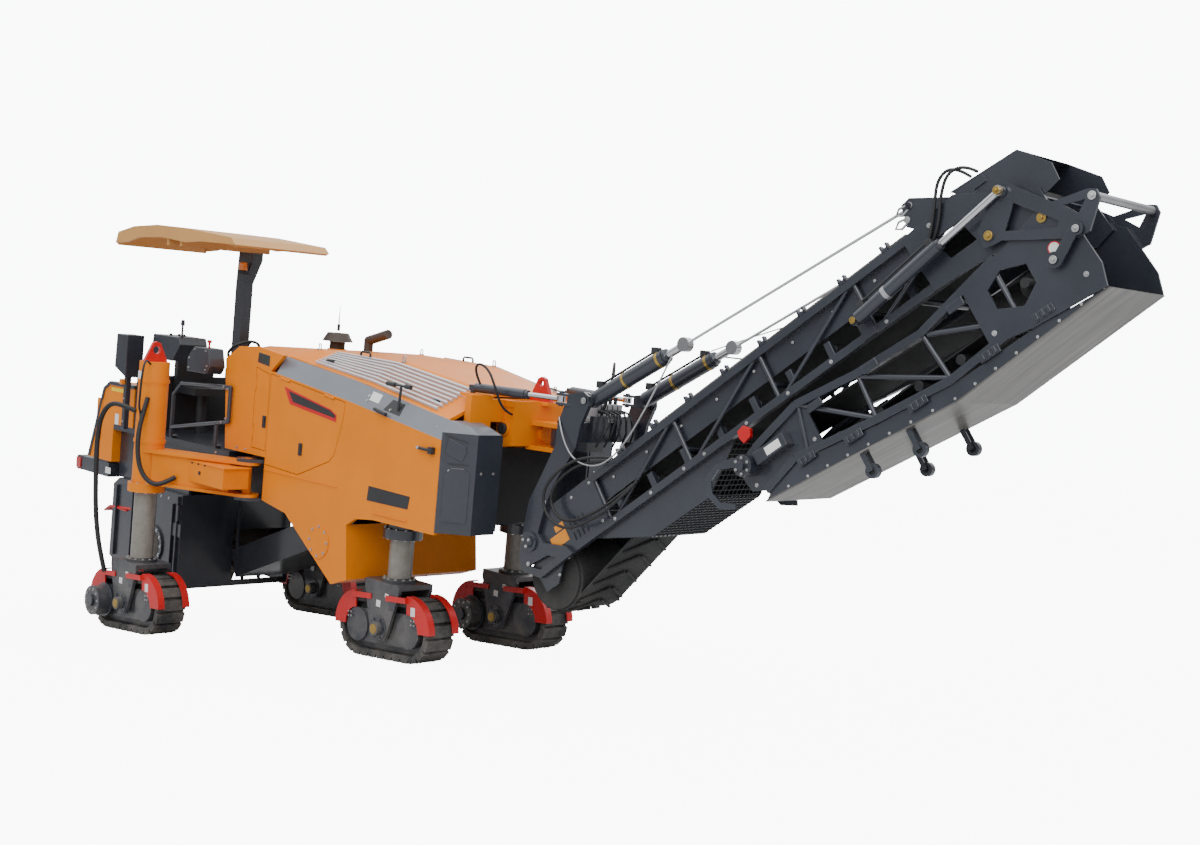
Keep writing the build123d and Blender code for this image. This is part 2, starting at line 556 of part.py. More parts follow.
def make_rear():
    deck = block(DECK_REAR, STATION_FRONT - SKIN - 1, -BODY_HALF, BODY_HALF, DECK_Z + 0.3, DECK_Z + DECK_PLATE)
    post_x = to_machine(-WHEELBASE, PIN_HEIGHT)[0]
    deck -= disc_z(post_x, TRACK_GAUGE / 2, HOUSING_RADIUS + 5, DECK_Z - 10, DECK_Z + 100)
    add("platform_deck", deck)
    tank = [(-5450, 1170), (-5180, 1980), (-5050, 2060), (-4480, 2060), (-4480, DECK_Z + DECK_PLATE + 0.3),
            (DECK_REAR - 5, DECK_Z + DECK_PLATE + 0.3), (DECK_REAR - 5, 1170)]
    add("rear_tank", plate_xz(tank, -BODY_HALF, BODY_HALF))
    bumper = block(-5700, -4950, -BODY_HALF, BODY_HALF, 990, 1150) - block(-5560, -4900, -BODY_HALF + 140, BODY_HALF - 140, 980, 1160)
    for y in (-700, 700):
        bumper += block(-5600, -5560, y - 60, y + 60, 1150, 1160)
    for y in (-980, 980):
        bumper += block(-5300, -5000, y - 60, y + 60, 1150, 1169.7)
    add("rear_bumper", bumper)
    lamp = block(-5708, -5700, 780, 900, 1010, 1130) + block(-5700, -5600, BODY_HALF, BODY_HALF + 12, 1010, 1130)
    add("tail_lamps", both_sides(lamp))


def both_posts(floor):
    """Feet of the right rail, bent in to the deck."""
    feet = None
    for x, top in ((-3600, 1730), (-2720, 1870)):
        foot = disc_z(x, -BODY_HALF - 32, RAIL_RADIUS, floor + 20, top)
        foot += bar((x, -BODY_HALF - 32, floor + 20), (x, -BODY_HALF + 30, floor + 20), RAIL_RADIUS)
        feet = foot if feet is None else feet + foot
    return feet


def make_station():
    floor = DECK_Z + DECK_PLATE + 0.3
    front = STATION_FRONT - SKIN - 0.5
    console = plate_xz([(front, 2200), (-2620, 2200), (-2760, 2290), (-2760, 2420), (-2660, 2510), (front, 2510)],
                       50 - BODY_HALF, BODY_HALF - 50)
    column = bar((-3010, -640, 2600), (-2700, -640, 2330), 22)
    ring = Pos(-3010, -640, 2600) * (Rot(0, -40, 0) * (Torus(165, 15) + Box(300, 24, 14)))
    console += ring + column
    seats = None
    for y in (-420, 520):
        seat = block(-4300, -3900, y - 230, y + 230, 2030, 2110) + block(-4370, -4300, y - 230, y + 230, 2060, 2520)
        seat += disc_z(-4130, y, 60, floor, 2030)
        seats = seat if seats is None else seats + seat
    cabinet = block(-4470, -4380, 10 - BODY_HALF, BODY_HALF - 10, floor, 2200)
    add("consoles", console)
    add("seats_and_cabinet", seats + cabinet)
    posts = [(-3600, 1720), (-3600, 2070), (-3450, 2200), (-2500, 2250), (-2500, 1900)]
    y = -BODY_HALF - 32
    rail = None
    for (xa, za), (xb, zb) in zip(posts, posts[1:] + posts[:1]):
        tube = bar((xa, y, za), (xb, y, zb), RAIL_RADIUS) + Pos(xa, y, za) * Sphere(RAIL_RADIUS)
        rail = tube if rail is None else rail + tube
    left = rail + both_posts(floor)
    y = BODY_HALF - 30
    for x in (-4300, -3600, -2700):
        tube = disc_z(x, y, RAIL_RADIUS, floor, 2350)
        left += tube
    for z in (1980, 2350):
        left += bar((-4300, y, z), (-2700, y, z), RAIL_RADIUS)
    add("handrails", left)
    post = block(-4120, -3960, -100, 20, floor, 3300)
    post += plate_xz([(-4120, 3300), (-3960, 3300), (-3800, 3560), (-3800, 3640), (-4100, 3640)], -100, 20)
    add("canopy_post", post)


def make_canopy():
    """Moulded roof: a crowned rear part and a flatter front part, hollow underneath."""
    top = [(-5200, 3620), (-5150, 3750), (-4800, 3820), (-4300, 3850), (-3700, 3830), (-2800, 3760), (-2710, 3690)]
    under = [(-2740, 3670), (-3700, 3790), (-4300, 3815), (-4800, 3785), (-5120, 3720), (-5170, 3600)]
    sheet = plate_xz(top + under, -1000, 120)
    for y0, y1 in ((-1020, -990), (110, 140)):
        rim = [(-5200, 3620), (-5150, 3750), (-4800, 3820), (-4300, 3850), (-3700, 3830), (-2800, 3760), (-2710, 3690),
               (-3400, 3700), (-3700, 3680), (-4200, 3720), (-4700, 3700), (-4950, 3640)]
        sheet += plate_xz(rim, y0, y1)
    for x in (-4100, -3830):
        sheet += block(x - 20, x + 20, -990, 110, 3640.3, 3790)
    add("canopy", sheet)


def hood_slope(x, share, lift):
    """Y, Z on the hood's right slope at X, a share of the way up and lifted off it."""
    for front, rear in zip(HOOD, HOOD[1:]):
        if front[0] <= x <= rear[0]:
            part = (x - front[0]) / (rear[0] - front[0])
            rim_z, crown, half = [a + part * (b - a) for a, b in zip(front[1:], rear[1:])]
    rim = BODY_HALF - BAND_IN - SEAM
    slope = math.hypot(rim - half, crown - rim_z)
    across, up = (rim - half) / slope, (crown - rim_z) / slope
    return (-rim + share * (rim - half) - lift * up, rim_z + share * (crown - rim_z) + lift * across)


def grille_slat(share):
    sections = []
    for x in GRILLE_X:
        points = [hood_slope(x, share + wide, lift) for wide, lift in ((-0.022, 1), (0.022, 1), (0.022, 26), (-0.022, 26))]
        sections.append(Plane((x, 0, 0), x_dir=(0, 1, 0), z_dir=(1, 0, 0)) * Polygon(*points, align=None))
    return loft(sections[:2], ruled=True) + loft(sections[1:], ruled=True)


def make_top():
    slats = None
    for k in range(GRILLE_SLATS):
        slat = grille_slat(0.12 + 0.84 * k / GRILLE_SLATS)
        slats = slat if slats is None else slats + slat
    add("grille", both_sides(slats))
    x, y = EXHAUST
    pipe = disc_z(x, y, 48, 2734, 2840) + Pos(x, y, 2840) * Sphere(48) + bar((x, y, 2840), (x + 320, y, 2930), 48)
    pipe += disc_z(*PRECLEANER, 80, 2712, 2790) + Pos(*PRECLEANER, 2835) * Cone(160, 110, 90)
    add("exhaust_and_precleaner", pipe)
    x, z = FRONT_EYE
    eye = plate_xz([(x - 145, 2500.3), (x + 145, 2500.3), (x + 45, z + 45), (x, z + 62), (x - 45, z + 45)], -20, 20)
    eye -= disc_y(x, z, FRONT_EYE_RADIUS, -30, 30)
    post_x = to_machine(-WHEELBASE, PIN_HEIGHT)[0]
    cap = plate_yz([(-130, 0.3), (130, 0.3), (40, 190), (0, 205), (-40, 190)], -20, 20) - bar((-40, 0, 120), (40, 0, 120), EYE_RADIUS)
    add("lifting_eyes", eye + Pos(post_x, SWUNG_LEG_Y, SWUNG_POST_TOP) * cap)
    engine = block(-2200, -700, -400, 400, 1700, 2400)
    engine += both_sides(block(-1460, -1400, 400, INNER_WEB - 0.3, 1700, 1760) + block(-900, -840, 400, INNER_WEB - 0.3, 1700, 1760))
    add("engine", engine)


def make_front():
    beam = [(780.3, 2060), (1000, 2100), (1000, 2500), (780.3, 2500)]
    front = plate_xz(beam, -380, 380) - block(820, 960, -340, -60, 2160, 2600) - block(820, 960, 60, 340, 2160, 2600)
    front += bar((1000, 0, 2210), (1040, 0, 2210), 70) + block(1000, 1080, -60, 60, 2470, 2500)
    for z in (2070, 2290):
        lug = plate_xy([(960, -170), (SLEW_X, -110), (SLEW_X, 110), (960, 170)], z, z + 40)
        front += lug + disc_z(SLEW_X, 0, 110, z, z + 40)
    front -= disc_z(SLEW_X, 0, SLEW_PIN + PIN_GAP, 2040, 2360)
    for sign in (-1, 1):
        front += block(770.3, 800, sign * 300, sign * 429.7, 1345, 2100)
        front += block(800.3, 880, sign * 540, sign * 780, 2200.5, 2532) + block(800.3, 880, sign * 379, sign * 600, 2300, 2500)
        front += block(620, 880, sign * 560, sign * 700, 2510, 2536)
    for sign in (-1, 1):
        front -= disc_z(SLEW_FOOT[0], sign * SLEW_FOOT[1], 25 + PIN_GAP, 2500, 2560)
    add("front_beam", front)
    add("rubber_sheet", block(800, 808, -425, 425, 1370, 2059))


# ---- slewing frame ------------------------------------------------------------------------
SLEW_PLATE = [(1700, 2640), (1601, 2360), (1597, 2187), (1474, 1927), (1345, 1672), (1311, 1446), (1283, 1176),
              (1323, 1049), (1560, 1022), (1908, 1302), (1820, 1347), (1560, 1330), (1480, 1400), (1518, 1567),
              (1561, 1704), (1656, 1909), (1833, 2191), (1868, 2391), (1940, 2560), (1930, 2640), (1870, 2672)]
SLEW_WINDOW = [(1400, 1100), (1551, 1095), (1738, 1238), (1619, 1234)]
SLEW_Y = 410.0


def make_slew_frame():
    """Two side plates joined at the top, hung on the slewing pin ahead of the nose."""
    px, pz = boom_to_machine(BOOM_PIVOT)
    side = plate_xz(SLEW_PLATE, SLEW_Y, SLEW_Y + 2 * PLATE) - plate_xz(SLEW_WINDOW, SLEW_Y - 5, SLEW_Y + 3 * PLATE)
    side += disc_y(px, pz, 85, SLEW_Y + 2 * PLATE, SLEW_Y + 3 * PLATE)
    side -= disc_y(px, pz, BOOM_PIN + PIN_GAP, SLEW_Y - 5, SLEW_Y + 4 * PLATE)
    side += disc_y(*LIFT_TOP, 70, SLEW_Y - PLATE, SLEW_Y)
    side -= disc_y(*LIFT_TOP, 30 + PIN_GAP, SLEW_Y - 2 * PLATE, SLEW_Y + 3 * PLATE)
    eye_x, eye_y = SLEW_EYE
    side -= disc_z(eye_x, eye_y, 90, SLEW_CYLINDER_Z - 29, SLEW_CYLINDER_Z + 29)
    for z in (SLEW_CYLINDER_Z - 50, SLEW_CYLINDER_Z + 30):
        fork = plate_xy([(eye_x, eye_y - 45), (1760, SLEW_Y), (1760, SLEW_Y + 2 * PLATE), (eye_x, eye_y + 45)], z, z + 20)
        side += fork + disc_z(eye_x, eye_y, 45, z, z + 20)
    side += disc_z(eye_x, eye_y, 22, SLEW_CYLINDER_Z + 50, SLEW_CYLINDER_Z + 62)
    side += disc_z(eye_x, eye_y, 22, SLEW_CYLINDER_Z - 62, SLEW_CYLINDER_Z - 50)
    frame = both_sides(side)
    frame += block(1640, 1790, -SLEW_Y, SLEW_Y, 2230, 2400)
    frame += block(SLEW_X, 1650, -105, 105, 2125, 2275) + disc_z(SLEW_X, 0, 105, 2125, 2275)
    frame += disc_z(SLEW_X, 0, SLEW_PIN, 2040, 2360)
    frame += both_sides(block(1790, 1830, 60, 250, 2235, 2460))
    add("slew_frame", frame, slewed)


def turned(x, y, angle):
    turn = math.radians(angle)
    return (SLEW_X + (x - SLEW_X) * math.cos(turn) - y * math.sin(turn),
            (x - SLEW_X) * math.sin(turn) + y * math.cos(turn))


def cylinder(start, end, barrel_end, rod_length, barrel_radius, rod_radius, eye, pin):
    """Barrel and rod on one line, each with an eye across it; the eyes' pins run along the axis given."""
    start, end = Vector(*start), Vector(*end)
    along = (end - start).normalized()

    def at(distance):
        return start + along * distance

    barrel = bar(at(eye * 0.8), at(barrel_end), barrel_radius)
    barrel += bar(at(barrel_end), at(barrel_end + 30), barrel_radius * 0.86)
    barrel -= bar(at(eye * 2), at(barrel_end + 60), rod_radius + 1)
    rod = bar(end - along * rod_length, end - along * eye * 0.7, rod_radius)
    eyes = []
    for centre in (start, end):
        eyes.append(bar(centre - pin * eye * 0.6, centre + pin * eye * 0.6, eye))
    return barrel + eyes[0], rod + eyes[1]


def make_slew_cylinders():
    for side, name in ((-1, "right"), (1, "left")):
        foot = (SLEW_FOOT[0], side * SLEW_FOOT[1], SLEW_CYLINDER_Z)
        end = (*turned(SLEW_EYE[0], side * SLEW_EYE[1], CONVEYOR_SLEW), SLEW_CYLINDER_Z)
        barrel, rod = cylinder(foot, end, 580, 585, 42, 22, 40, Vector(0, 0, 1))
        barrel += bar(foot, Vector(*foot) - Vector(0, 0, 72), 25)
        add("slew_barrel_" + name, barrel)
        add("slew_rod_" + name, rod)


# ---- discharge boom -----------------------------------------------------------------------
def boom_to_machine(point):
    turn = math.radians(BOOM_ANGLE)
    return (BOOM_ROOT[0] + point[0] * math.cos(turn) - point[1] * math.sin(turn),
            BOOM_ROOT[1] + point[0] * math.sin(turn) + point[1] * math.cos(turn))


def machine_to_boom(point):
    turn = math.radians(BOOM_ANGLE)
    x, z = point[0] - BOOM_ROOT[0], point[1] - BOOM_ROOT[1]
    return (x * math.cos(turn) + z * math.sin(turn), -x * math.sin(turn) + z * math.cos(turn))


def strut(x0, z0, x1, z1, y, radius=POST_RADIUS):
    return bar((x0, y, z0), (x1, y, z1), radius)


def make_boom():
    low, high = CHORD_LOW, CHORD_HIGH
    side = square_bar((BOOM_START, BOOM_Y, low), (BOOM_END, BOOM_Y, low), CHORD)
    side += square_bar((BOOM_START + 150, BOOM_Y, high), (BOOM_END, BOOM_Y, high), CHORD)
    for x, following in zip(POSTS, POSTS[1:] + (BOOM_END - 60,)):
        side += strut(x, low, x, high, BOOM_Y)
        side += strut(x + 20, low, following - 20, high, BOOM_Y, 16)
    side += block(265, 3760, BOOM_Y - CHORD / 2 - 8, BOOM_Y - CHORD / 2, 170, high + CHORD / 2)
    px, pz = BOOM_PIVOT
    cheek = [(px - 90, pz - 60), (px - 60, pz + 90), (-330, high + 25), (265, high + 25), (265, low), (-380, low - 40),
             (-520, -210), (-680, -210), (-700, -60)]
    side += plate_xz(cheek, END_PLATE_Y - PLATE, END_PLATE_Y)
    side += disc_y(px, pz, 80, END_PLATE_Y - 3 * PLATE, END_PLATE_Y) + disc_y(px, pz, BOOM_PIN, END_PLATE_Y, SLEW_Y + 4 * PLATE - 8)
    end = [(3750, 400), (4250, 440), (4800, 100), (4820, -160), (4660, -200), (4300, -100), (3800, -60)]
    side += plate_xz(end, END_PLATE_Y, END_PLATE_Y + PLATE)
    side -= plate_xz([(4020, 60), (4250, 60), (4200, 250), (3950, 250)], END_PLATE_Y - 5, END_PLATE_Y + 2 * PLATE)
    bracket = [(3810, 477), (3850, 640), (3930, 650), (4230, 443), (4100, 380), (3900, 380)]
    side += plate_xz(bracket, END_PLATE_Y - 3 * PLATE, END_PLATE_Y - 2 * PLATE)
    side += disc_y(*ROPE_EYE, 26, END_PLATE_Y - 2 * PLATE, END_PLATE_Y - 1.5 * PLATE)
    for (x, z), radius, outer in ((FOLD_PIN, 40, CRANK_Y - 6), (CRANK_PIN, 40, CRANK_Y + 1.4 * PLATE)):
        side += disc_y(x, z, radius, END_PLATE_Y + PLATE, outer)
    fx, fz = FOLD_FOOT
    side += block(fx - 60, fx + 60, END_PLATE_Y, END_PLATE_Y + PLATE, fz - 130, fz + 60)
    side += disc_y(fx, fz, 24, END_PLATE_Y, FOLD_CYLINDER_Y + 40)
    frame = both_sides(side)
    for x in POSTS:
        frame += bar((x, -BOOM_Y, 100), (x, BOOM_Y, 100), 25)
    for x, z in ((3620, -30), (4330, -20)):
        frame += bar((x, -END_PLATE_Y, z), (x, END_PLATE_Y, z), 25)
    hood = [(4225, 481), (4787, 433), (4948, 204), (4938, 72), (4754, 41)]
    inner = [(4210, 466), (4779, 418), (4932, 198), (4922, 85), (4740, 50)]
    shell = plate_xz(hood, -390, 390) - plate_xz(inner + [(4100, 0)], -380, 380)
    shell -= block(4779, 5000, -380, 380, 0, 418)
    hx, hz, hr = HEAD_DRUM
    shell -= disc_y(hx, hz, 60, -500, 500)
    frame += shell + both_sides(block(4240, 4500, 380, 405, 380, 440) & plate_xz(hood + [(4225, 380)], 300, 500))
    frame -= disc_y(hx, hz, 41, -500, 500)
    add("boom_frame", frame, boom)


def belt(profile, half):
    """Endless belt: the profile's outline less the same outline inset by the belt."""
    ring = profile - offset(profile, -BELT)
    return extrude(Plane.XZ * ring, half, both=True)


def disc(x, z, radius):
    return Pos(x, z) * Circle(radius)


def make_boom_belt():
    tx, tz, tr = TAIL
    hx, hz, hr = HEAD_DRUM
    rx, rz = RETURN_ROLLER
    span = Polygon((tx - 10, tz + tr), (hx, hz + hr), (hx, hz - hr), (rx, rz), (tx + 40, tz - tr + 3), align=None)
    add("boom_belt", belt(disc(tx, tz, tr) + disc(hx, hz, hr) + span, BELT_HALF), boom)
    shafts = disc_y(tx, tz, tr - BELT - 1, -BELT_HALF - 20, BELT_HALF + 20) - disc_y(tx, tz, 50, -500, 500)
    shafts += disc_y(tx, tz, 49, -END_PLATE_Y + PLATE + 0.3, END_PLATE_Y - PLATE - 0.3)
    shafts += disc_y(hx, hz, hr - BELT - 1, -BELT_HALF - 20, BELT_HALF + 20)
    shafts += disc_y(hx, hz, 40, -END_PLATE_Y + 0.3, END_PLATE_Y - 0.3)
    shafts += disc_y(rx, rz - 46, 40, -325, 325) + disc_y(rx, rz - 46, 15, -335, 335)
    add("boom_drums", shafts, boom)


def make_boom_covers():
    """Cover sheet over the belt and the mesh guard below its return run."""
    cover = [(1050, 415.3), (3790, 415.3), (3790, 428), (1050, 428)]
    add("belt_cover", plate_xz(cover, -BOOM_Y - 28, BOOM_Y + 28), boom)
    mesh = plate_xz([(560, -330), (1240, -330), (1240, -320), (560, -320)], -345, 345)
    sides = plate_xz([(30, -40), (30, -62), (580, -330), (1240, -330), (1700, -62), (1700, -40)], 335, 345)
    add("mesh_guard", mesh + both_sides(sides), boom)


def make_lift():
    start = LIFT_TOP
    end = boom_to_machine(ROPE_EYE)
    reach = math.hypot(end[0] - start[0], end[1] - start[1])
    ux, uz = (end[0] - start[0]) / reach, (end[1] - start[1]) / reach
    eye = (start[0] + ux * LIFT_EYE, start[1] + uz * LIFT_EYE)
    barrel, rod = cylinder((start[0], LIFT_Y, start[1]), (eye[0], LIFT_Y, eye[1]), 870, 910, LIFT_BARREL, LIFT_ROD, 60, Vector(0, 1, 0))
    barrel += disc_y(*start, 30, LIFT_Y, SLEW_Y + 2 * PLATE + 10)
    rod += bar((eye[0], LIFT_Y, eye[1]), (end[0] - ux * 60, LIFT_Y, end[1] - uz * 60), 12)
    rod += square_bar((end[0] - ux * 80, LIFT_Y, end[1] - uz * 80), (end[0] + ux * 20, LIFT_Y, end[1] + uz * 20), 18, 60)
    rod += disc_y(*end, 17, LIFT_Y, END_PLATE_Y - 3 * PLATE - 6)
    add("lift_barrels", both_sides(barrel), slewed)
    add("lift_rods", both_sides(rod), slewed)


def make_head():
    """Folding end of the conveyor, lying upside down below the boom."""
    top = [(4300, -140), (4220, -147), (3560, -270), (2960, -236), (2390, -155), (1900, -250)]
    low = [(4300, -620), (3600, -680), (2940, -610), (2190, -500), (1840, -585)]
    side = None
    for row in (top, low):
        for (xa, za), (xb, zb) in zip(row, row[1:]):
            rail = square_bar((xa, HEAD_Y, za), (xb, HEAD_Y, zb), CHORD)
            side = rail if side is None else side + rail
    for xa, za, xb, zb in ((4250, -150, 4250, -620), (3560, -270, 3600, -680), (2960, -240, 2940, -610), (2400, -160, 2300, -510),
                           (4250, -600, 3600, -300), (3600, -660, 2980, -270), (2940, -600, 2420, -180)):
        side += strut(xa, za, xb, zb, HEAD_Y)
    hx, hz = FOLD_PIN
    root = [(hx + 60, hz + 40), (hx - 20, hz + 60), (4400, -110), (3980, -160), (3980, -640), (4300, -700), (4880, -745),
            (4925, -590), (4900, -200)]
    plate = plate_xz(root, ROOT_PLATE_Y, ROOT_PLATE_Y + PLATE)
    plate -= plate_xz([(4150, -300), (4300, -230), (4480, -300), (4480, -450), (4330, -540), (4150, -450)], ROOT_PLATE_Y - 5, ROOT_PLATE_Y + 30)
    plate -= disc_y(hx, hz, 40 + PIN_GAP, ROOT_PLATE_Y - 5, ROOT_PLATE_Y + 30)
    side += plate
    lx, lz = LINK_PINS[1]
    side += disc_y(lx, lz, 40, ROOT_PLATE_Y + PLATE, LINK_Y - 7)
    tail = [(2450, -190), (2450, -520), (1840, -590), (1700, -520), (1650, -300), (1850, -220)]
    side += plate_xz(tail, HEAD_Y - 20, HEAD_Y)
    side += plate_xz([(4860, -748), (3560, -824), (1800, -646), (1850, -612), (2190, -535), (2940, -645), (3600, -712),
                      (4300, -702.5), (4850, -745)], HEAD_Y, HEAD_Y + 10)
    side += plate_xz([(1660, -200), (1480, -170), (1340, -220), (1290, -340), (1340, -480), (1480, -560), (1500, -520),
                      (1385, -450), (1345, -340), (1385, -255), (1490, -215), (1700, -300), (1720, -250)], HEAD_Y - 18, HEAD_Y)
    frame = both_sides(side)
    for x, z in ((3600, -680), (2940, -610), (1840, -585), (4200, -620)):
        frame += bar((x, -HEAD_Y, z), (x, HEAD_Y, z), 25)
    add("head_frame", frame, boom)
    rx, rz, rr = HEAD_ROOT
    tx, tz, tr = HEAD_TAIL
    span = Polygon((rx, rz + rr), (rx, rz - rr), (tx, tz - tr), (tx, tz + tr), align=None)
    add("head_belt", belt(disc(rx, rz, rr) + disc(tx, tz, tr) + span, BELT_HALF), boom)
    drums = disc_y(rx, rz, rr - BELT - 1, -BELT_HALF - 20, BELT_HALF + 20) + disc_y(rx, rz, 35, -ROOT_PLATE_Y + 0.3, ROOT_PLATE_Y - 0.3)
    drums += disc_y(tx, tz, tr - BELT - 1, -BELT_HALF - 20, BELT_HALF + 20) + disc_y(tx, tz, 40, -HEAD_Y + 20.3, HEAD_Y - 20.3)
    add("head_drums", drums, boom)
    bottom = [(4880, -747), (3560, -825), (1790, -645), (1780, -655), (3560, -837), (4888, -759)]
    add("head_cover", plate_xz(bottom, -440, 440), boom)
    wheels = None
    for x, z in ((2700, -900), (3120, -960)):
        base = -645 - (x - 1790) * 180 / 1770 - 14
        wheel = disc_y(x, z, 55, -25, 25) + block(x - 20, x + 20, -40, -25, z, base) + block(x - 20, x + 20, 25, 40, z, base)
        wheels = wheel if wheels is None else wheels + wheel
    add("head_casters", Pos(0, -380, 0) * wheels + Pos(0, 380, 0) * wheels, boom)


def make_fold():
    cx, cz = CRANK_PIN
    rod_x, rod_z = ROD_PIN
    bar_x, bar_z = CROSSBAR
    link_x, link_z = LINK_PINS[0]
    outline = [(cx - 70, cz - 60), (cx - 60, cz + 70), (rod_x - 50, rod_z + 50), (rod_x + 55, rod_z + 40),
               (bar_x - 250, bar_z + 130), (bar_x, bar_z + 55), (bar_x + 45, bar_z + 20), (bar_x + 40, bar_z - 40),
               (link_x + 60, link_z - 60), (link_x - 40, link_z - 45), (cx + 60, cz - 80)]
    crank = plate_xz(outline, CRANK_Y, CRANK_Y + PLATE)
    main_window = [(4475, -35), (4620, 95), (4830, -200), (4800, -235)]
    arm_window = [(4905, -125), (5050, -182), (4965, -235)]
    for window in (main_window, arm_window):
        crank -= plate_xz(window, CRANK_Y - 5, CRANK_Y + 30)
    crank -= disc_y(cx, cz, 40 + PIN_GAP, CRANK_Y - 5, CRANK_Y + 40)
    crank += disc_y(*ROD_PIN, 34, CRANK_Y + PLATE, CRANK_Y + 1.6 * PLATE)
    crank += disc_y(*LINK_PINS[0], 22, CRANK_Y + PLATE, LINK_Y + PLATE + 5)
    frame = both_sides(crank)
    frame += bar((CROSSBAR[0], -CRANK_Y, CROSSBAR[1]), (CROSSBAR[0], CRANK_Y, CROSSBAR[1]), 28)
    add("fold_crank", frame, boom)
    (ax, az), (bx, bz) = LINK_PINS
    link = plate_xz([(ax - 15, az + 45), (ax + 45, az), (bx + 15, bz - 60), (bx - 60, bz - 10)], LINK_Y, LINK_Y + PLATE)
    link += disc_y(ax, az, 45, LINK_Y, LINK_Y + PLATE) + disc_y(bx, bz, 55, LINK_Y, LINK_Y + PLATE)
    link -= disc_y(ax, az, 22 + PIN_GAP, LINK_Y - 5, LINK_Y + 50)
    link += disc_y(bx, bz, 30, LINK_Y + PLATE, LINK_Y + PLATE + 8)
    add("fold_links", both_sides(link), boom)
    barrel, rod = cylinder((FOLD_FOOT[0], FOLD_CYLINDER_Y, FOLD_FOOT[1]), (ROD_PIN[0], FOLD_CYLINDER_Y, ROD_PIN[1]), 830, 845, 50, 26, 38, Vector(0, 1, 0))
    barrel -= disc_y(*FOLD_FOOT, 24 + PIN_GAP, 300, 700)
    rod += disc_y(*ROD_PIN, 22, FOLD_CYLINDER_Y, FOLD_CYLINDER_Y + 36)
    add("fold_barrels", both_sides(barrel), boom)
    add("fold_rods", both_sides(rod), boom)


make_legs()
make_swing_arm()
make_sides()
make_hood()
make_bands()
make_chassis()
make_drum()
make_collecting_conveyor()
make_rear()
make_station()
make_canopy()
make_top()
make_front()
make_slew_frame()
make_slew_cylinders()
make_boom()
make_boom_belt()
make_boom_covers()
make_lift()
make_head()
make_fold()

# ---- origin and export --------------------------------------------------------------------
boxes = [shape.bounding_box() for shape in parts.values()]
low = [min(getattr(box.min, axis) for box in boxes) for axis in "XYZ"]
high = [max(getattr(box.max, axis) for box in boxes) for axis in "XYZ"]
ORIGIN = ((low[0] + high[0]) / 2, (low[1] + high[1]) / 2, low[2])
SIZE = [top - base for base, top in zip(low, high)]

os.makedirs("parts", exist_ok=True)
for name, shape in parts.items():
    placed = Pos(-ORIGIN[0], -ORIGIN[1], -ORIGIN[2]) * shape
    export_step(placed, f"parts/{name}.step")
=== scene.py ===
# %% [markdown]
# A cold planer is a road milling machine: a toothed drum under the body peels old asphalt,
# and a long folding conveyor throws it into a truck ahead. The engineering model holds the
# sizes and joints. This lesson dresses it: paint, steel, rubber and the small fittings.

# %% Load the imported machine
import bpy
import bmesh
from math import cos, pi, radians, sin
from mathutils import Matrix, Vector


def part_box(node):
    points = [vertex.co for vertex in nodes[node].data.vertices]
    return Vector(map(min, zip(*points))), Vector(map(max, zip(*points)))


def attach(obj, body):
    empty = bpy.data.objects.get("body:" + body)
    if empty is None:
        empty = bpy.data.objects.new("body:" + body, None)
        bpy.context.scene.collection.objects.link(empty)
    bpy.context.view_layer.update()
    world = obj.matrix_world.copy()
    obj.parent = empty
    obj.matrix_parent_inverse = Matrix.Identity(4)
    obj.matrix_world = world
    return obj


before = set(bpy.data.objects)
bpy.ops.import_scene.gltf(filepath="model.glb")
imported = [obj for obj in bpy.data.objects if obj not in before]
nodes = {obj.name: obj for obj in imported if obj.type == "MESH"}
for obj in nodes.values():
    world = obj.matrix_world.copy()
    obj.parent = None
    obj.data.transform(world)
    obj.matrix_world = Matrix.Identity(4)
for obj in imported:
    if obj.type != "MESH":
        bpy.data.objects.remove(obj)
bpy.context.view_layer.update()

# %% [markdown]
# Three places are used again and again: the machine's own level frame, which is pitched
# nose-down on its legs, the conveyor's frame after it has slewed a little, and the boom's
# frame, whose X runs up along the belt. Each is one matrix, so a fitting is described in
# the frame that it belongs to and set in place once.

# %% Frames of the machine, the conveyor and the boom
BODY_PITCH = radians(5.8)
PIN_HEIGHT = 0.29
TRACK_GAUGE = 1.43
SLEW_X = 1.25
CONVEYOR_SLEW = radians(2.7)
BOOM_ROOT = Vector((2.03, 0, 1.486))
BOOM_ANGLE = radians(37)


def about(point, angle, axis):
    """A turn round an axis that passes through the point."""
    turn = Matrix.Rotation(angle, 4, axis)
    return Matrix.Translation(point) @ turn @ Matrix.Translation(-Vector(point))


low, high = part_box("track_front_right")
GROUND = Matrix.Translation(((low.x + high.x) / 2, (low.y + high.y) / 2 + TRACK_GAUGE / 2, 0))
MACHINE = GROUND @ about((0, 0, PIN_HEIGHT), BODY_PITCH, "Y")
CONVEYOR = MACHINE @ about((SLEW_X, 0, 0), CONVEYOR_SLEW, "Z")
BOOM = CONVEYOR @ Matrix.Translation(BOOM_ROOT) @ Matrix.Rotation(-BOOM_ANGLE, 4, "Y")
print("machine frame at", MACHINE.translation, "boom root at", BOOM.translation)

# %% [markdown]
# Effects that many finishes share are shader node groups. Each is built once, with named
# sockets, and gives only a mask, a mottle or a normal. The material that uses it keeps its
# own Principled shader.

# %% Node helpers
NUMBER = "NodeSocketFloat"
ARROW = "NodeSocketVector"


def effect(name, inputs, outputs):
    """An empty shader node group with named sockets."""
    tree = bpy.data.node_groups.new(name, "ShaderNodeTree")
    for label, kind, value in inputs:
        socket = tree.interface.new_socket(name=label, in_out="INPUT", socket_type=kind)
        if value is not None:
            socket.default_value = value
    for label, kind in outputs:
        tree.interface.new_socket(name=label, in_out="OUTPUT", socket_type=kind)
    return tree, tree.nodes.new("NodeGroupInput").outputs, tree.nodes.new("NodeGroupOutput").inputs


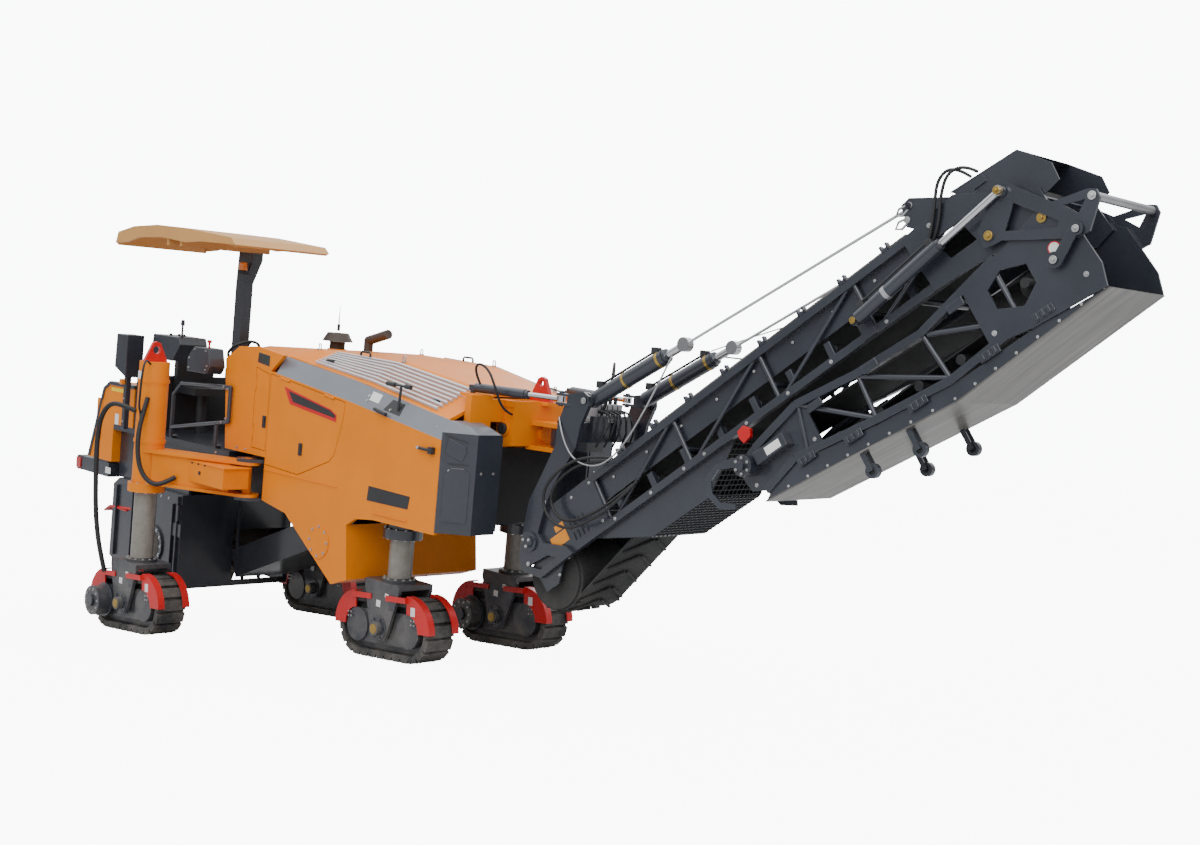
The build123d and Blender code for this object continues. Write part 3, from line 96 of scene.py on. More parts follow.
def plug(tree, socket, source):
    """Link a socket, or give it a value."""
    if hasattr(source, "is_output"):
        tree.links.new(source, socket)
    else:
        socket.default_value = source


def node(tree, kind, links=None, **values):
    """A shader node with its settings made and its sockets plugged."""
    made = tree.nodes.new("ShaderNode" + kind)
    for key, value in values.items():
        setattr(made, key, value)
    for key, source in (links or {}).items():
        plug(tree, made.inputs[key], source)
    return made


def maths(tree, kind, a, b):
    """One sum on two values."""
    return node(tree, "Math", {0: a, 1: b}, operation=kind).outputs[0]


def span(tree, value, low, high, bottom=0.0, top=1.0):
    """The value moved from the range low to high into bottom to top."""
    return node(tree, "MapRange", {0: value, 1: low, 2: high, 3: bottom, 4: top}).outputs[0]


def mix_colour(tree, factor, a, b):
    """Colour a turning into colour b as the factor grows."""
    made = node(tree, "Mix", data_type="RGBA")
    for socket, source in ((0, factor), (6, a), (7, b)):
        plug(tree, made.inputs[socket], source)
    return made.outputs[2]


def noise(tree, vector, scale, detail=4.0, rough=0.55):
    """Cloudy noise between 0 and 1."""
    links = {"Vector": vector, "Scale": scale, "Detail": detail, "Roughness": rough}
    return node(tree, "TexNoise", links).outputs[0]


print("node helpers ready")

# %% Edge wear and painted highlight: where a corner is sharp, the paint thins and a painted highlight lies along it
tree, give, take = effect("edge_wear_and_painted_highlight", (("Vector", ARROW, None), ("Radius", NUMBER, 0.008)),
                          (("Mask", NUMBER),))
rounded = node(tree, "Bevel", {"Radius": give["Radius"]}, samples=4).outputs[0]
facing = node(tree, "NewGeometry").outputs["Normal"]
product = node(tree, "VectorMath", {0: rounded, 1: facing}, operation="DOT_PRODUCT")
# sharp edges: partly paint worn thin, partly a painted highlight along the edge
edge = span(tree, product.outputs["Value"], 0.99, 0.86)
patches = span(tree, noise(tree, give["Vector"], 9.0), 0.42, 0.62)
plug(tree, take["Mask"], maths(tree, "MULTIPLY", edge, patches))
EDGE_WEAR_AND_HIGHLIGHT = tree

# %% Dust: it lies on what faces up and thickens near the road
tree, give, take = effect("road_dust", (("Vector", ARROW, None), ("High", NUMBER, 1.3)),
                          (("Mask", NUMBER),))
upward = node(tree, "SeparateXYZ", {0: node(tree, "NewGeometry").outputs["Normal"]}).outputs[2]
height = node(tree, "SeparateXYZ", {0: give["Vector"]}).outputs[2]
near_road = span(tree, height, give["High"], 0.05)
on_top = span(tree, upward, 0.2, 1.0, 0.0, 0.45)
cloud = span(tree, noise(tree, give["Vector"], 3.1, 6.0, 0.65), 0.35, 0.75)
plug(tree, take["Mask"], maths(tree, "MULTIPLY", maths(tree, "ADD", near_road, on_top), cloud))
ROAD_DUST = tree

# %% Grain: the fine unevenness of a sprayed, cast or moulded skin
tree, give, take = effect("fine_grain", (("Vector", ARROW, None), ("Scale", NUMBER, 160.0),
                                         ("Depth", NUMBER, 0.0004)),
                          (("Normal", ARROW), ("Mottle", NUMBER)))
speckle = noise(tree, give["Vector"], give["Scale"], 3.0)
bump = node(tree, "Bump", {"Height": speckle, "Distance": give["Depth"], "Strength": 0.7})
plug(tree, take["Normal"], bump.outputs[0])
plug(tree, take["Mottle"], noise(tree, give["Vector"], 2.3, 5.0))
FINE_GRAIN = tree
print("effects", [group.name for group in bpy.data.node_groups])

# %% [markdown]
# The paints are sprayed enamel over steel: an even colour with a slight cloudiness, a soft
# clear gloss, thin bright wear and a painted highlight on sharp edges, and pale road dust low
# down. One function builds each finish, so that all of them share the same logic and differ
# only in values.

# %% The finish builder
DUST = (0.27, 0.245, 0.21, 1)


def group_of(tree, group, links):
    """A shared effect placed in a material; gives its outputs."""
    made = tree.nodes.new("ShaderNodeGroup")
    made.node_tree = group
    for key, source in links.items():
        plug(tree, made.inputs[key], source)
    return made.outputs


def finish(name, colour, roughness, metal=0.0, coat=0.0, worn=None, wear_and_highlight=0.6, dust=0.4,
           cloud=0.12, grain=160.0, depth=0.0004, shine=0.5, pattern=None):
    """A painted, cast or moulded surface; pattern(tree, place, colour) may recolour a part."""
    material = bpy.data.materials.new(name)
    material.use_nodes = True
    tree = material.node_tree
    shader = tree.nodes["Principled BSDF"]
    place = node(tree, "TexCoord").outputs["Object"]
    skin = group_of(tree, FINE_GRAIN, {"Vector": place, "Scale": grain, "Depth": depth})
    plug(tree, shader.inputs["Normal"], skin["Normal"])
    darker = tuple(channel * (1 - cloud) for channel in colour) + (1,)
    lighter = tuple(min(1, channel * (1 + cloud)) for channel in colour) + (1,)
    tint = mix_colour(tree, span(tree, skin["Mottle"], 0.3, 0.7), darker, lighter)
    rough = span(tree, skin["Mottle"], 0.25, 0.75, roughness * 0.85, roughness * 1.15)
    if pattern:
        tint = pattern(tree, place, tint)
    # sharp edges take a lighter colour: partly real wear, partly a painted highlight
    if worn:
        mask = group_of(tree, EDGE_WEAR_AND_HIGHLIGHT, {"Vector": place})["Mask"]
        tint = mix_colour(tree, maths(tree, "MULTIPLY", mask, wear_and_highlight), tint, worn + (1,))
    if dust:
        mask = group_of(tree, ROAD_DUST, {"Vector": place})["Mask"]
        mask = maths(tree, "MULTIPLY", mask, dust)
        tint = mix_colour(tree, mask, tint, DUST)
        rough = maths(tree, "MAXIMUM", rough, span(tree, mask, 0.0, 0.6, 0.0, 0.9))
    plug(tree, shader.inputs["Base Color"], tint)
    plug(tree, shader.inputs["Roughness"], rough)
    shader.inputs["Metallic"].default_value = metal
    shader.inputs["Coat Weight"].default_value = coat
    shader.inputs["Specular IOR Level"].default_value = shine
    shader.inputs["Coat Roughness"].default_value = 0.12
    return material


print("finish builder ready")

# %% Patterns that colour part of a finish
ZINC = (0.2, 0.185, 0.16)
YOKE_TOP = 0.742


def by_height(limit, colour):
    """Another colour above a height over the floor, with a crisp line between."""
    def pattern(tree, place, tint):
        upright = node(tree, "SeparateXYZ", {0: place}).outputs[2]
        mask = span(tree, upright, limit, limit + 0.003)
        cloudy = noise(tree, place, 14.0, 6.0, 0.7)
        zinc = mix_colour(tree, cloudy, tuple(c * 0.6 for c in colour) + (1,),
                          tuple(c * 1.5 for c in colour) + (1,))
        return mix_colour(tree, mask, tint, zinc)
    return pattern


def streaks(tree, place, tint):
    """Long soft streaks, as rolled sheet and rubbed belts have."""
    stretched = node(tree, "Mapping", {"Vector": place, "Scale": (0.6, 9.0, 0.6)})
    mask = span(tree, noise(tree, stretched.outputs[0], 2.0, 5.0), 0.35, 0.75, 0.0, 0.5)
    return mix_colour(tree, mask, tint, (0.34, 0.32, 0.29, 1))


print("patterns ready")

# %% The machine's finishes
BARE = (0.42, 0.4, 0.38)
ORANGE = finish("orange_enamel", (0.8, 0.215, 0.001), 0.42, coat=0.05, worn=(0.8, 0.3, 0.03),
                wear_and_highlight=0.4, dust=0.03, shine=0.2, cloud=0.05, depth=0.0002)
SLATE = finish("slate_enamel", (0.024, 0.028, 0.039), 0.34, coat=0.45, worn=(0.1, 0.11, 0.125),
               wear_and_highlight=0.7, dust=0.12, cloud=0.12)
SLATS = finish("grille_slats", (0.52, 0.52, 0.55), 0.35, coat=0.3, dust=0.1, cloud=0.08)
# the bands' light grey is partly their grey paint and partly a painted reflection of the bright
# sky
BAND_AND_PAINTED_REFLECTION = finish("band_enamel_and_painted_sky_reflection", (0.155, 0.168, 0.19), 0.36, coat=0.3, worn=(0.22, 0.23, 0.25),
              wear_and_highlight=0.5, dust=0.1, cloud=0.08)
RED = finish("red_enamel", (0.58, 0.004, 0.006), 0.38, coat=0.1, worn=(0.7, 0.1, 0.07),
             dust=0.1)
LEG = finish("leg_enamel_and_zinc_column", (0.03, 0.033, 0.043), 0.42, coat=0.25,
             worn=(0.18, 0.18, 0.19), dust=0.6, pattern=by_height(YOKE_TOP, ZINC))
TRACK = finish("track_links", (0.022, 0.023, 0.026), 0.72, worn=(0.16, 0.15, 0.14), wear_and_highlight=0.9,
               dust=0.7, grain=70.0, depth=0.002, cloud=0.3)
RUBBER = finish("belt_rubber", (0.018, 0.018, 0.019), 0.78, dust=0.35, grain=90.0, depth=0.001,
                cloud=0.25)
CHROME = finish("chromed_rod", (0.62, 0.62, 0.64), 0.16, metal=1.0, dust=0.0, cloud=0.03,
                grain=240.0, depth=0.00005)
STEEL = finish("galvanised_steel", (0.4, 0.4, 0.41), 0.42, metal=0.85, dust=0.1, cloud=0.2)
SHEET = finish("cover_sheet", (0.105, 0.098, 0.092), 0.36, metal=0.3, dust=0.1, pattern=streaks,
               cloud=0.1)
IRON = finish("worn_iron", (0.09, 0.075, 0.065), 0.62, metal=0.6, worn=BARE, dust=0.6, grain=60.0,
              depth=0.002, cloud=0.35)
CANOPY = finish("canopy_shell", (0.62, 0.31, 0.085), 0.5, coat=0.05, dust=0.03, cloud=0.05,
                depth=0.0003)
BLACK = finish("black_plastic", (0.02, 0.021, 0.024), 0.5, dust=0.25, cloud=0.15, depth=0.0006)
LAMP = finish("lamp_red", (0.55, 0.01, 0.01), 0.18, coat=0.8, dust=0.0)
print("materials", len(bpy.data.materials))

# %% [markdown]
# Every node of the engineering model keeps its shape and takes one of these finishes.

# %% Finishes onto the model's own nodes
WEARS = {
    ORANGE: "side_shells service_door_left service_door_right small_door hood rear_tank swing_arm"
            " front_beam",
    SLATE: "chassis drum_housing corner_covers rear_bumper slew_frame boom_frame"
           " head_frame fold_crank fold_links fold_barrels lift_barrels slew_barrel_left"
           " slew_barrel_right canopy_post collecting_trough mesh_guard head_casters handrails"
           " platform_deck",
    RED: "lifting_eyes track_guards_front_left track_guards_front_right track_guards_rear_left"
         " track_guards_rear_right",
    LEG: "leg_front_left leg_front_right leg_rear_left leg_rear_right",
    TRACK: "track_front_left track_front_right track_rear_left track_rear_right",
    RUBBER: "boom_belt head_belt rubber_sheet boom_drums head_drums",
    CHROME: "lift_rods slew_rod_left slew_rod_right fold_rods",
    SHEET: "belt_cover head_cover",
    IRON: "milling_drum engine exhaust_and_precleaner",
    CANOPY: "canopy",
    BAND_AND_PAINTED_REFLECTION: "grey_bands",
    SLATS: "grille",
    BLACK: "consoles seats_and_cabinet",
    LAMP: "tail_lamps",
}
dressed = set()
for material, names in WEARS.items():
    for name in names.split():
        slots = nodes[name].data.materials
        slots.clear()
        slots.append(material)
        dressed.add(name)
print("undressed nodes", sorted(set(nodes) - dressed))

# %% [markdown]
# Fittings are modelled beside the engineering model and bolted onto its bodies. On the real
# machine they are pressed, turned or bought pieces: latches, bolts, hoses, lamps. Each is a
# closed mesh made from boxes, bars and plates, because that is how such pieces are made.

# %% Boxes, bars and plates
RIGHT, LEFT = -1, 1
SIDES = (RIGHT, LEFT)


def slab(bm, low, high):
    """A box between two opposite corners."""
    made = bmesh.ops.create_cube(bm, size=1)["verts"]
    for vert in made:
        vert.co = [a + (b - a) * (c + 0.5) for a, b, c in zip(low, high, vert.co)]


def side_slab(bm, side, low, high):
    """A box on one side, with Y given as its distance out from the middle."""
    near, far = sorted((side * low[1], side * high[1]))
    slab(bm, (low[0], near, low[2]), (high[0], far, high[2]))


def rod(bm, a, b, radius, sides=12, tip=None):
    """A round bar from a to b; tip is the radius at b where the bar tapers."""
    a, b = Vector(a), Vector(b)
    turn = (b - a).to_track_quat("Z", "Y").to_matrix().to_4x4()
    bmesh.ops.create_cone(bm, cap_ends=True, segments=sides, radius1=radius,
                          radius2=radius if tip is None else tip, depth=(b - a).length,
                          matrix=Matrix.Translation((a + b) / 2) @ turn)


def stub_pair(bm, x, z, near, far, radius, sides=20):
    """A short round bar on each side, from near to far out of the middle."""
    for side in SIDES:
        rod(bm, (x, side * near, z), (x, side * far, z), radius, sides)


def plate(bm, outline, near, far):
    """A flat plate with its outline in X and Z, thick along Y."""
    face = bm.faces.new([bm.verts.new((x, near, z)) for x, z in outline])
    made = bmesh.ops.extrude_face_region(bm, geom=[face])["geom"]
    for vert in made:
        if isinstance(vert, bmesh.types.BMVert):
            vert.co.y = far


print("boxes, bars and plates ready")

# %% [markdown]
# A bolt shows only its washer and its hexagon head, so that is all that is made. Bolts come in
# rows and rings; a ring is the corner points of a regular polygon.

# %% Bolts
WASHER, WASHER_HALF = 1.45, 0.002


def bolts(bm, points, axis, radius=0.012, height=0.009):
    """Hexagon heads on washers, standing on the points along the axis."""
    axis = Vector(axis)
    for point in points:
        point = Vector(point)
        rod(bm, point - axis * WASHER_HALF, point + axis * WASHER_HALF, radius * WASHER, 12)
        rod(bm, point, point + axis * height, radius, 6)


def face_bolts(bm, side, face, points, radius, height=0.009):
    """Bolts on an upright face of one side, their points given in X and Z."""
    bolts(bm, [(x, side * face, z) for x, z in points], (0, side, 0), radius, height)


def ring_of(centre, radius, count, plane="xz", start=0.0):
    """Evenly spaced points on a circle that stands (xz) or lies (xy)."""
    turns = [start + 2 * pi * step / count for step in range(count)]
    x, y, z = centre
    if plane == "xz":
        return [(x + radius * cos(t), y, z + radius * sin(t)) for t in turns]
    return [(x + radius * cos(t), y + radius * sin(t), z) for t in turns]


print("bolts ready")

# %% [markdown]
# A bent bar could be a curve with a bevel, or rings of points that are joined. The rings keep
# each bend exactly where its point is, and the bar joins the other boxes in one mesh. The rings
# are carried along without twist, so that the faces between them stay flat.

# %% Bent bars and hard pipes
def tube(bm, points, radius, sides=8):
    """A bent bar or pipe through points, one ring of vertices at each."""
    points = [Vector(point) for point in points]
    rings = []
    across = None
    for index, point in enumerate(points):
        ahead = points[min(index + 1, len(points) - 1)] - points[max(index - 1, 0)]
        ahead.normalize()
        if across is None:
            across = ahead.orthogonal().normalized()
        across = (across - ahead * across.dot(ahead)).normalized()
        other = ahead.cross(across)
        rings.append([bm.verts.new(point + radius * (across * cos(t) + other * sin(t)))
                      for t in (2 * pi * side / sides for side in range(sides))])
    for ring, following in zip(rings, rings[1:]):
        for side in range(sides):
            after = (side + 1) % sides
            bm.faces.new((ring[side], ring[after], following[after], following[side]))
    bm.faces.new(rings[0][::-1])
    bm.faces.new(rings[-1])


print("bent bars ready")

# %% [markdown]
# One helper ends every piece in the same way. It breaks the sharp edges with a small bevel,
# sets the mesh in its frame, turns its faces outwards and names the body that carries it.

# %% Finishing a piece
def piece(name, bm, place, body, material, soften=0.0, smooth=False):
    """The mesh made an object at the origin, softened, dressed and riding on its body."""
    if soften:
        sharp = [edge for edge in bm.edges if edge.is_manifold and edge.calc_face_angle() > 0.6]
        bmesh.ops.bevel(bm, geom=sharp, offset=soften, offset_type="OFFSET", affect="EDGES",
                        segments=2, profile=0.5, material=-1, clamp_overlap=True)
    bmesh.ops.transform(bm, matrix=place, verts=bm.verts)
    bmesh.ops.recalc_face_normals(bm, faces=bm.faces)
    mesh = bpy.data.meshes.new(name)
    for face in bm.faces:
        face.smooth = smooth
    bm.to_mesh(mesh)
    bm.free()
    if smooth:
        mesh.set_sharp_from_angle(angle=0.7)
    mesh.materials.append(material)
    made = bpy.data.objects.new(name, mesh)
    bpy.context.scene.collection.objects.link(made)
    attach(made, body)
    print(name, len(mesh.polygons), "faces on", body)


SIDE = 1.05
CHORD_FACE = 0.405
print("body side at", SIDE, "boom chord at", CHORD_FACE)

# %% Small finishes of the fittings
BOLT = finish("plated_bolts", (0.5, 0.5, 0.5), 0.35, metal=0.9, dust=0.1, cloud=0.2)
LABEL = finish("bare_labels", (0.8, 0.8, 0.78), 0.5, dust=0.1, cloud=0.02)
SIGN = finish("bare_orange_signs", (0.85, 0.3, 0.02), 0.5, dust=0.1, cloud=0.02)
GLASS = finish("display_glass", (0.02, 0.035, 0.032), 0.08, coat=1.0, dust=0.05, cloud=0.2)
HOSE = finish("hose_rubber", (0.012, 0.012, 0.013), 0.55, dust=0.2, cloud=0.2, depth=0.0006)
BRASS = finish("yellow_passivated_pins", (0.45, 0.3, 0.08), 0.35, metal=0.9, dust=0.1)
AMBER = finish("amber_beacon", (0.9, 0.25, 0.02), 0.15, coat=0.8, dust=0.0)
print("fittings' finishes ready")

# %% [markdown]
# The doors close with flush paddle latches: a pressed black dish holds a lever and a lock
# barrel. They are the same on all four doors, so one function shapes them.

# %% Door latches
def latch(bm, x, z, side):
    """A paddle latch, w and h being half its dish's width and height."""
    face = side * (SIDE + 0.001)
    out = side * 0.007
    w, h = 0.03, 0.06
    dish = [(x - w, z - h), (x + w, z - h), (x + w, z + h), (x - w, z + h)]
    plate(bm, dish, face, face + out)
    slab(bm, (x - w * 0.55, min(face, face + 2 * out), z - h * 0.15),
         (x + w * 0.55, max(face, face + 2 * out), z + h * 0.75))
    rod(bm, (x, face, z - h * 0.55), (x, face + out * 1.7, z - h * 0.55), w * 0.42, 12)


for name, x, z, side in (("service_door_right", -1.25, 1.78, RIGHT),
                         ("service_door_left", -1.25, 1.78, LEFT),
                         ("small_door", -1.9, 1.971, RIGHT)):
    bm = bmesh.new()
    latch(bm, x, z, side)
    piece(name + "_latch", bm, MACHINE, name, BLACK, 0.003)

# %% [markdown]
# The side wears one dark plate low on the flank and a two-tone banner on the door. Both are
# left bare. They are thin vinyl on the real machine; here they are thin plates, so that they
# stay put when the door swings.

# %% Bare banner and plates
BANNER = [(-1.594, 2.351), (-1.478, 2.191), (-0.706, 2.104), (-0.711, 2.171), (-0.81, 2.216)]
BANNER_DARK = [(-1.515, 2.318), (-1.43, 2.218), (-0.728, 2.139), (-0.732, 2.17),
               (-0.818, 2.205)]
NUMBER_PLATE = [(-0.145, 1.456), (0.454, 1.463), (0.475, 1.579), (-0.131, 1.59)]
for side, word in ((RIGHT, "right"), (LEFT, "left")):
    for name, outline, body, slot, material, out in (
            ("banner_" + word, BANNER, "service_door_" + word, "red", RED, 0.0025),
            ("banner_dark_" + word, BANNER_DARK, "service_door_" + word, "rubber", BLACK, 0.004),
            ("number_plate_" + word, NUMBER_PLATE, "machine", "rubber", BLACK, 0.003)):
        bm = bmesh.new()
        plate(bm, outline, side * SIDE, side * (SIDE + out))
        piece(name, bm, MACHINE, body, material)

# %% [markdown]
# Bolts hold what is taken off for service: the round cover over the gearbox, the corner
# covers, the bands and the beam. Heads are turned to no special angle on a real machine; here
# they share one, which the eye doesn't catch at this size.

# %% Bolts of the body
bm = bmesh.new()
bolts(bm, ring_of((-0.84, -SIDE - 0.008, 0.96), 0.14, 8), (0, RIGHT, 0), 0.01)
for side in SIDES:
    bolts(bm, [(-0.3, side * (SIDE - 0.055), 2.395), (0.7, side * (SIDE - 0.055), 2.225)],
          (0, side * 0.9, 0.4))
    chamfer = Vector((1, side * 0.98, 0)).normalized()
    for x, y, z in ((0.905, 0.99, 1.87), (0.905, 0.99, 1.44), (0.985, 0.906, 1.87)):
        bolts(bm, [(x, side * y, z)], chamfer, 0.009)
    bolts(bm, [(1.066, side * y, 1.86) for y in (0.62, 0.76)], (1, 0, 0), 0.01)
piece("body_bolts", bm, MACHINE, "machine", BOLT)

# %% [markdown]
# The corner cover is a pressed shell with a creased face; thin black plates paint the shade in
# its groove and its recessed scoop. A shallow raised panel with its own bevel catches the light
# as the pressing does. What is described for the right side is mirrored for the left.

# %% Corner cover pressings and the painted shade of its slots
MIRROR = Matrix.Scale(-1, 4, (0, 1, 0))
FLIPS = (("right", MACHINE), ("left", MACHINE @ MIRROR))
CHAMFER = Matrix.Translation((0.845, -SIDE, 0)) @ Matrix.Rotation(radians(45.64), 4, "Z")
PRESSINGS = ([(0.045, 1.42), (0.27, 1.42), (0.27, 1.86), (0.215, 1.9), (0.1, 1.9),
              (0.045, 1.82)],
             [(0.04, 2.02), (0.19, 1.95), (0.23, 2.04), (0.215, 2.09), (0.055, 2.16)])
# thin black plates painted where the shade lies in the groove and the recessed scoop
SLOT_SHADES = ([(0.06, 1.925), (0.25, 1.925), (0.25, 1.937), (0.06, 1.937)],
         [(0.03, 2.175), (0.235, 2.115), (0.235, 2.128), (0.03, 2.19)])
for word, flip in FLIPS:
    bm = bmesh.new()
    for outline in PRESSINGS:
        plate(bm, outline, 0.004, -0.012)
    piece("corner_pressing_" + word, bm, flip @ CHAMFER, "machine", SLATE, 0.006)
    bm = bmesh.new()
    # the painted shade of the groove and the scoop
    for outline in SLOT_SHADES:
        plate(bm, outline, 0.002, -0.004)
    piece("corner_slot_shades_" + word, bm, flip @ CHAMFER, "machine", BLACK)

# %% [markdown]
# A grey band leans in along each shoulder. A black leaf paints the shade of a recess on it and a
# bare label lies beside it, so their corners are found along and across the band and then made
# into thin leaves.

# %% Painted recess shade and label on the grey band
def band(x, share, lift=0.0):
    """A point on the right band: x along it, share across it, lift off its face."""
    low = 2.13 + (0.84 - x) * 0.1387
    high = 2.3 + (0.84 - x) * 0.1493
    return (x, -SIDE + 0.1 * share - lift * 0.87, low + (high - low) * share + lift * 0.5)


def leaf(bm, corners, thick):
    """A thin plate through four corners that lie on a sloping face."""
    a, b, c = (Vector(corner) for corner in corners[:3])
    out = (b - a).cross(c - a).normalized() * thick
    if out.y > 0:
        out = -out
    face = bm.faces.new([bm.verts.new(corner) for corner in corners])
    made = bmesh.ops.extrude_face_region(bm, geom=[face])["geom"]
    bmesh.ops.translate(bm, vec=out,
                        verts=[part for part in made if isinstance(part, bmesh.types.BMVert)])


LEAF = 0.002
# a flat black leaf paints the shade of the recess in the band
RECESS_SHADE = [band(-0.04, 0.25), band(0.2, 0.25), band(0.2, 0.85), band(0.02, 0.85)]
STICKER = [band(-0.28, 0.42), band(-0.14, 0.42), band(-0.14, 0.85), band(-0.28, 0.85)]
for word, flip in FLIPS:
    for name, corners, slot, material in (("recess_painted_shades_", RECESS_SHADE, "rubber", BLACK),
                                          ("band_label_", STICKER, "steel", LABEL)):
        bm = bmesh.new()
        leaf(bm, corners, LEAF)
        piece(name + word, bm, flip, "machine", material)

# %% [markdown]
# Behind the corner stands a two-handed lever with thick rubber grips, and a short one sticks
# out of the flank. Two narrow ledges run along the side under the doors.

# %% Levers and ledges
foot, head = band(0.15, 0.45), Vector(band(0.15, 0.6)) + Vector((0, 0, 0.2))
LEVERS = (((foot, head), 0.013),
          ((head + Vector((-0.2, 0, 0.005)), head + Vector((0.13, 0, 0))), 0.011),
          ((head + Vector((-0.21, 0, 0.005)), head + Vector((-0.09, 0, 0.003))), 0.022),
          ((head + Vector((0.06, 0, 0.001)), head + Vector((0.14, 0, 0))), 0.022),
          ((band(-0.12, 0.1, 0.03), band(0.06, 0.06, 0.03)), 0.018),
          (((0.585, -1.085, 2.03), (0.74, -1.085, 2.026)), 0.015))
for word, flip in FLIPS:
    bm = bmesh.new()
    for ends, radius in LEVERS:
        tube(bm, ends, radius)
    slab(bm, (0.715, -1.095, 1.995), (0.77, -1.05, 2.055))
    piece("levers_" + word, bm, flip, "machine", BLACK, 0.003)
    bm = bmesh.new()
    tube(bm, [(0.56, -1.085, 2.031), (0.59, -1.085, 2.03)], 0.016)
    bolts(bm, [band(x, 0.35, 0.001) for x in (-0.3, 0.05)], (0, -0.87, 0.5), 0.009)
    piece("lever_tips_" + word, bm, flip, "machine", BOLT)
    bm = bmesh.new()
    slab(bm, (-0.04, -1.062, 1.35), (0.455, -1.05, 1.364))
    slab(bm, (-1.84, -1.058, 1.5), (-0.62, -1.05, 1.512))
    piece("ledges_" + word, bm, flip, "machine", ORANGE, 0.003)

# %% Glass of the side display
bm = bmesh.new()
plate(bm, [(-2.09, 2.545), (-1.88, 2.52), (-1.88, 2.625), (-2.08, 2.645)], -SIDE, -1.054)
piece("display_glass", bm, MACHINE, "machine", GLASS, 0.002)

# %% [markdown]
# On the hood stand the lifting rings of its covers, a grab handle and the whip aerial beside
# the mushroom of the air intake. Rings are bent bar; the aerial is a tapering rod on a base.

# %% Rings, handle and aerial on the hood
def staple(bm, centre, width, height, radius):
    """A bent handle standing on the hood."""
    centre, along, up = Vector(centre), Vector((width / 2, 0, 0)), Vector((0, 0, height))
    tube(bm, [centre - along, centre - along + up * 0.8, centre - along * 0.75 + up,
              centre + along * 0.75 + up, centre + along + up * 0.8, centre + along], radius)


bm = bmesh.new()
for side in SIDES:
    for x, out, z in ((-1.64, 0.64, 2.728), (-0.39, 0.56, 2.718), (0.64, 0.44, 2.556)):
        staple(bm, (x, side * out, z), 0.036, 0.055, 0.006)
        rod(bm, (x, side * out, z - 0.004), (x, side * out, z + 0.008), 0.026, 12)
piece("hood_rings", bm, MACHINE, "machine", BOLT)
bm = bmesh.new()
for side in SIDES:
    staple(bm, (-0.885, side * 0.64, 2.69), 0.15, 0.075, 0.011)
for x, y, z in ((-0.1, -0.78, 2.515), (-1.15, -0.85, 2.64), (0.42, -0.8, 2.42)):
    for side in SIDES:
        slab(bm, (x - 0.05, side * y - 0.018, z), (x + 0.05, side * y + 0.018, z + 0.02))
rod(bm, (-2.25, 0, 2.95), (-2.25, 0, 3.16), 0.008, 8, tip=0.003)
rod(bm, (-2.25, 0, 2.9), (-2.25, 0, 2.97), 0.016, 10)
piece("hood_handles_and_aerial", bm, MACHINE, "machine", BLACK, 0.002)

# %% [markdown]
# The operator's place is open. A slate control box with bolted corners hangs outside the rail,
# a desk and a wedge-shaped lamp shield stand behind it, and the beacon sits under the roof.

# %% Boxes on the platform and their bolts
bm = bmesh.new()
outside_box = [(-3.1, 2.36), (-2.72, 2.36), (-2.66, 2.44), (-2.72, 2.62), (-2.98, 2.62),
               (-3.1, 2.5)]
plate(bm, outside_box, -1.245, -1.06)
desk = [(-4.06, 2.42), (-3.6, 2.42), (-3.46, 2.6), (-3.5, 2.68), (-4.02, 2.68)]
plate(bm, desk, -1.13, -0.8)
plate(bm, [(-4.45, 2.28), (-4.2, 2.18), (-4.2, 2.64), (-4.44, 2.64)], -1.33, -1.13)
slab(bm, (-4.28, -1.3, 1.62), (-4.22, -1.24, 2.62))
piece("platform_boxes", bm, MACHINE, "machine", SLATE, 0.008)
bm = bmesh.new()
box_corners = ((-3.06, 2.4), (-2.74, 2.4), (-2.71, 2.44), (-2.75, 2.59), (-2.96, 2.59),
               (-3.06, 2.5))
face_bolts(bm, RIGHT, 1.246, box_corners, 0.008)
face_bolts(bm, RIGHT, 1.301, [(-4.25, z) for z in (1.7, 1.95, 2.25, 2.5)], 0.008)
rail_ends = ((-2.52, 1.93), (-2.52, 2.23), (-2.6, 2.245), (-2.6, 1.885))
face_bolts(bm, RIGHT, 1.105, rail_ends, 0.01)
piece("platform_bolts", bm, MACHINE, "machine", BOLT)

# %% Control knobs and stop button
DESK_TOP = 2.68
bm = bmesh.new()
rod(bm, (-3.62, -1.02, DESK_TOP), (-3.62, -1.02, 2.8), 0.012, 10)
rod(bm, (-3.62, -1.02, 2.8), (-3.62, -1.02, 2.86), 0.024, 12, tip=0.018)
for x, y in ((-3.85, -0.92), (-3.75, -0.92), (-3.85, -1.02)):
    rod(bm, (x, y, DESK_TOP), (x, y, DESK_TOP + 0.02), 0.016, 12)
piece("control_knobs", bm, MACHINE, "machine", BLACK, 0.003)
bm = bmesh.new()
rod(bm, (-2.85, -1.15, 2.62), (-2.85, -1.15, 2.68), 0.012, 10)
rod(bm, (-2.85, -1.15, 2.67), (-2.85, -1.15, 2.7), 0.024, 12)
piece("stop_button", bm, MACHINE, "machine", RED, 0.004)

# %% Beacon under the roof
bm = bmesh.new()
rod(bm, (-3.9, -0.16, 3.44), (-3.9, -0.16, 3.53), 0.05, 20, tip=0.042)
slab(bm, (-4.3, -1.345, 2.1), (-4.24, -1.3, 2.16))
piece("beacon", bm, MACHINE, "machine", AMBER, 0.008)
bm = bmesh.new()
rod(bm, (-3.9, -0.16, 3.41), (-3.9, -0.16, 3.44), 0.056, 20)
slab(bm, (-3.97, -0.19, 3.395), (-3.84, -0.1, 3.415))
piece("beacon_base", bm, MACHINE, "machine", BLACK, 0.003)

# %% [markdown]
# The rear tank carries a slate rim and a yellow strip, and below it hangs the folding step. The
# arm of the rear right leg carries a tool box. Labels stay bare.

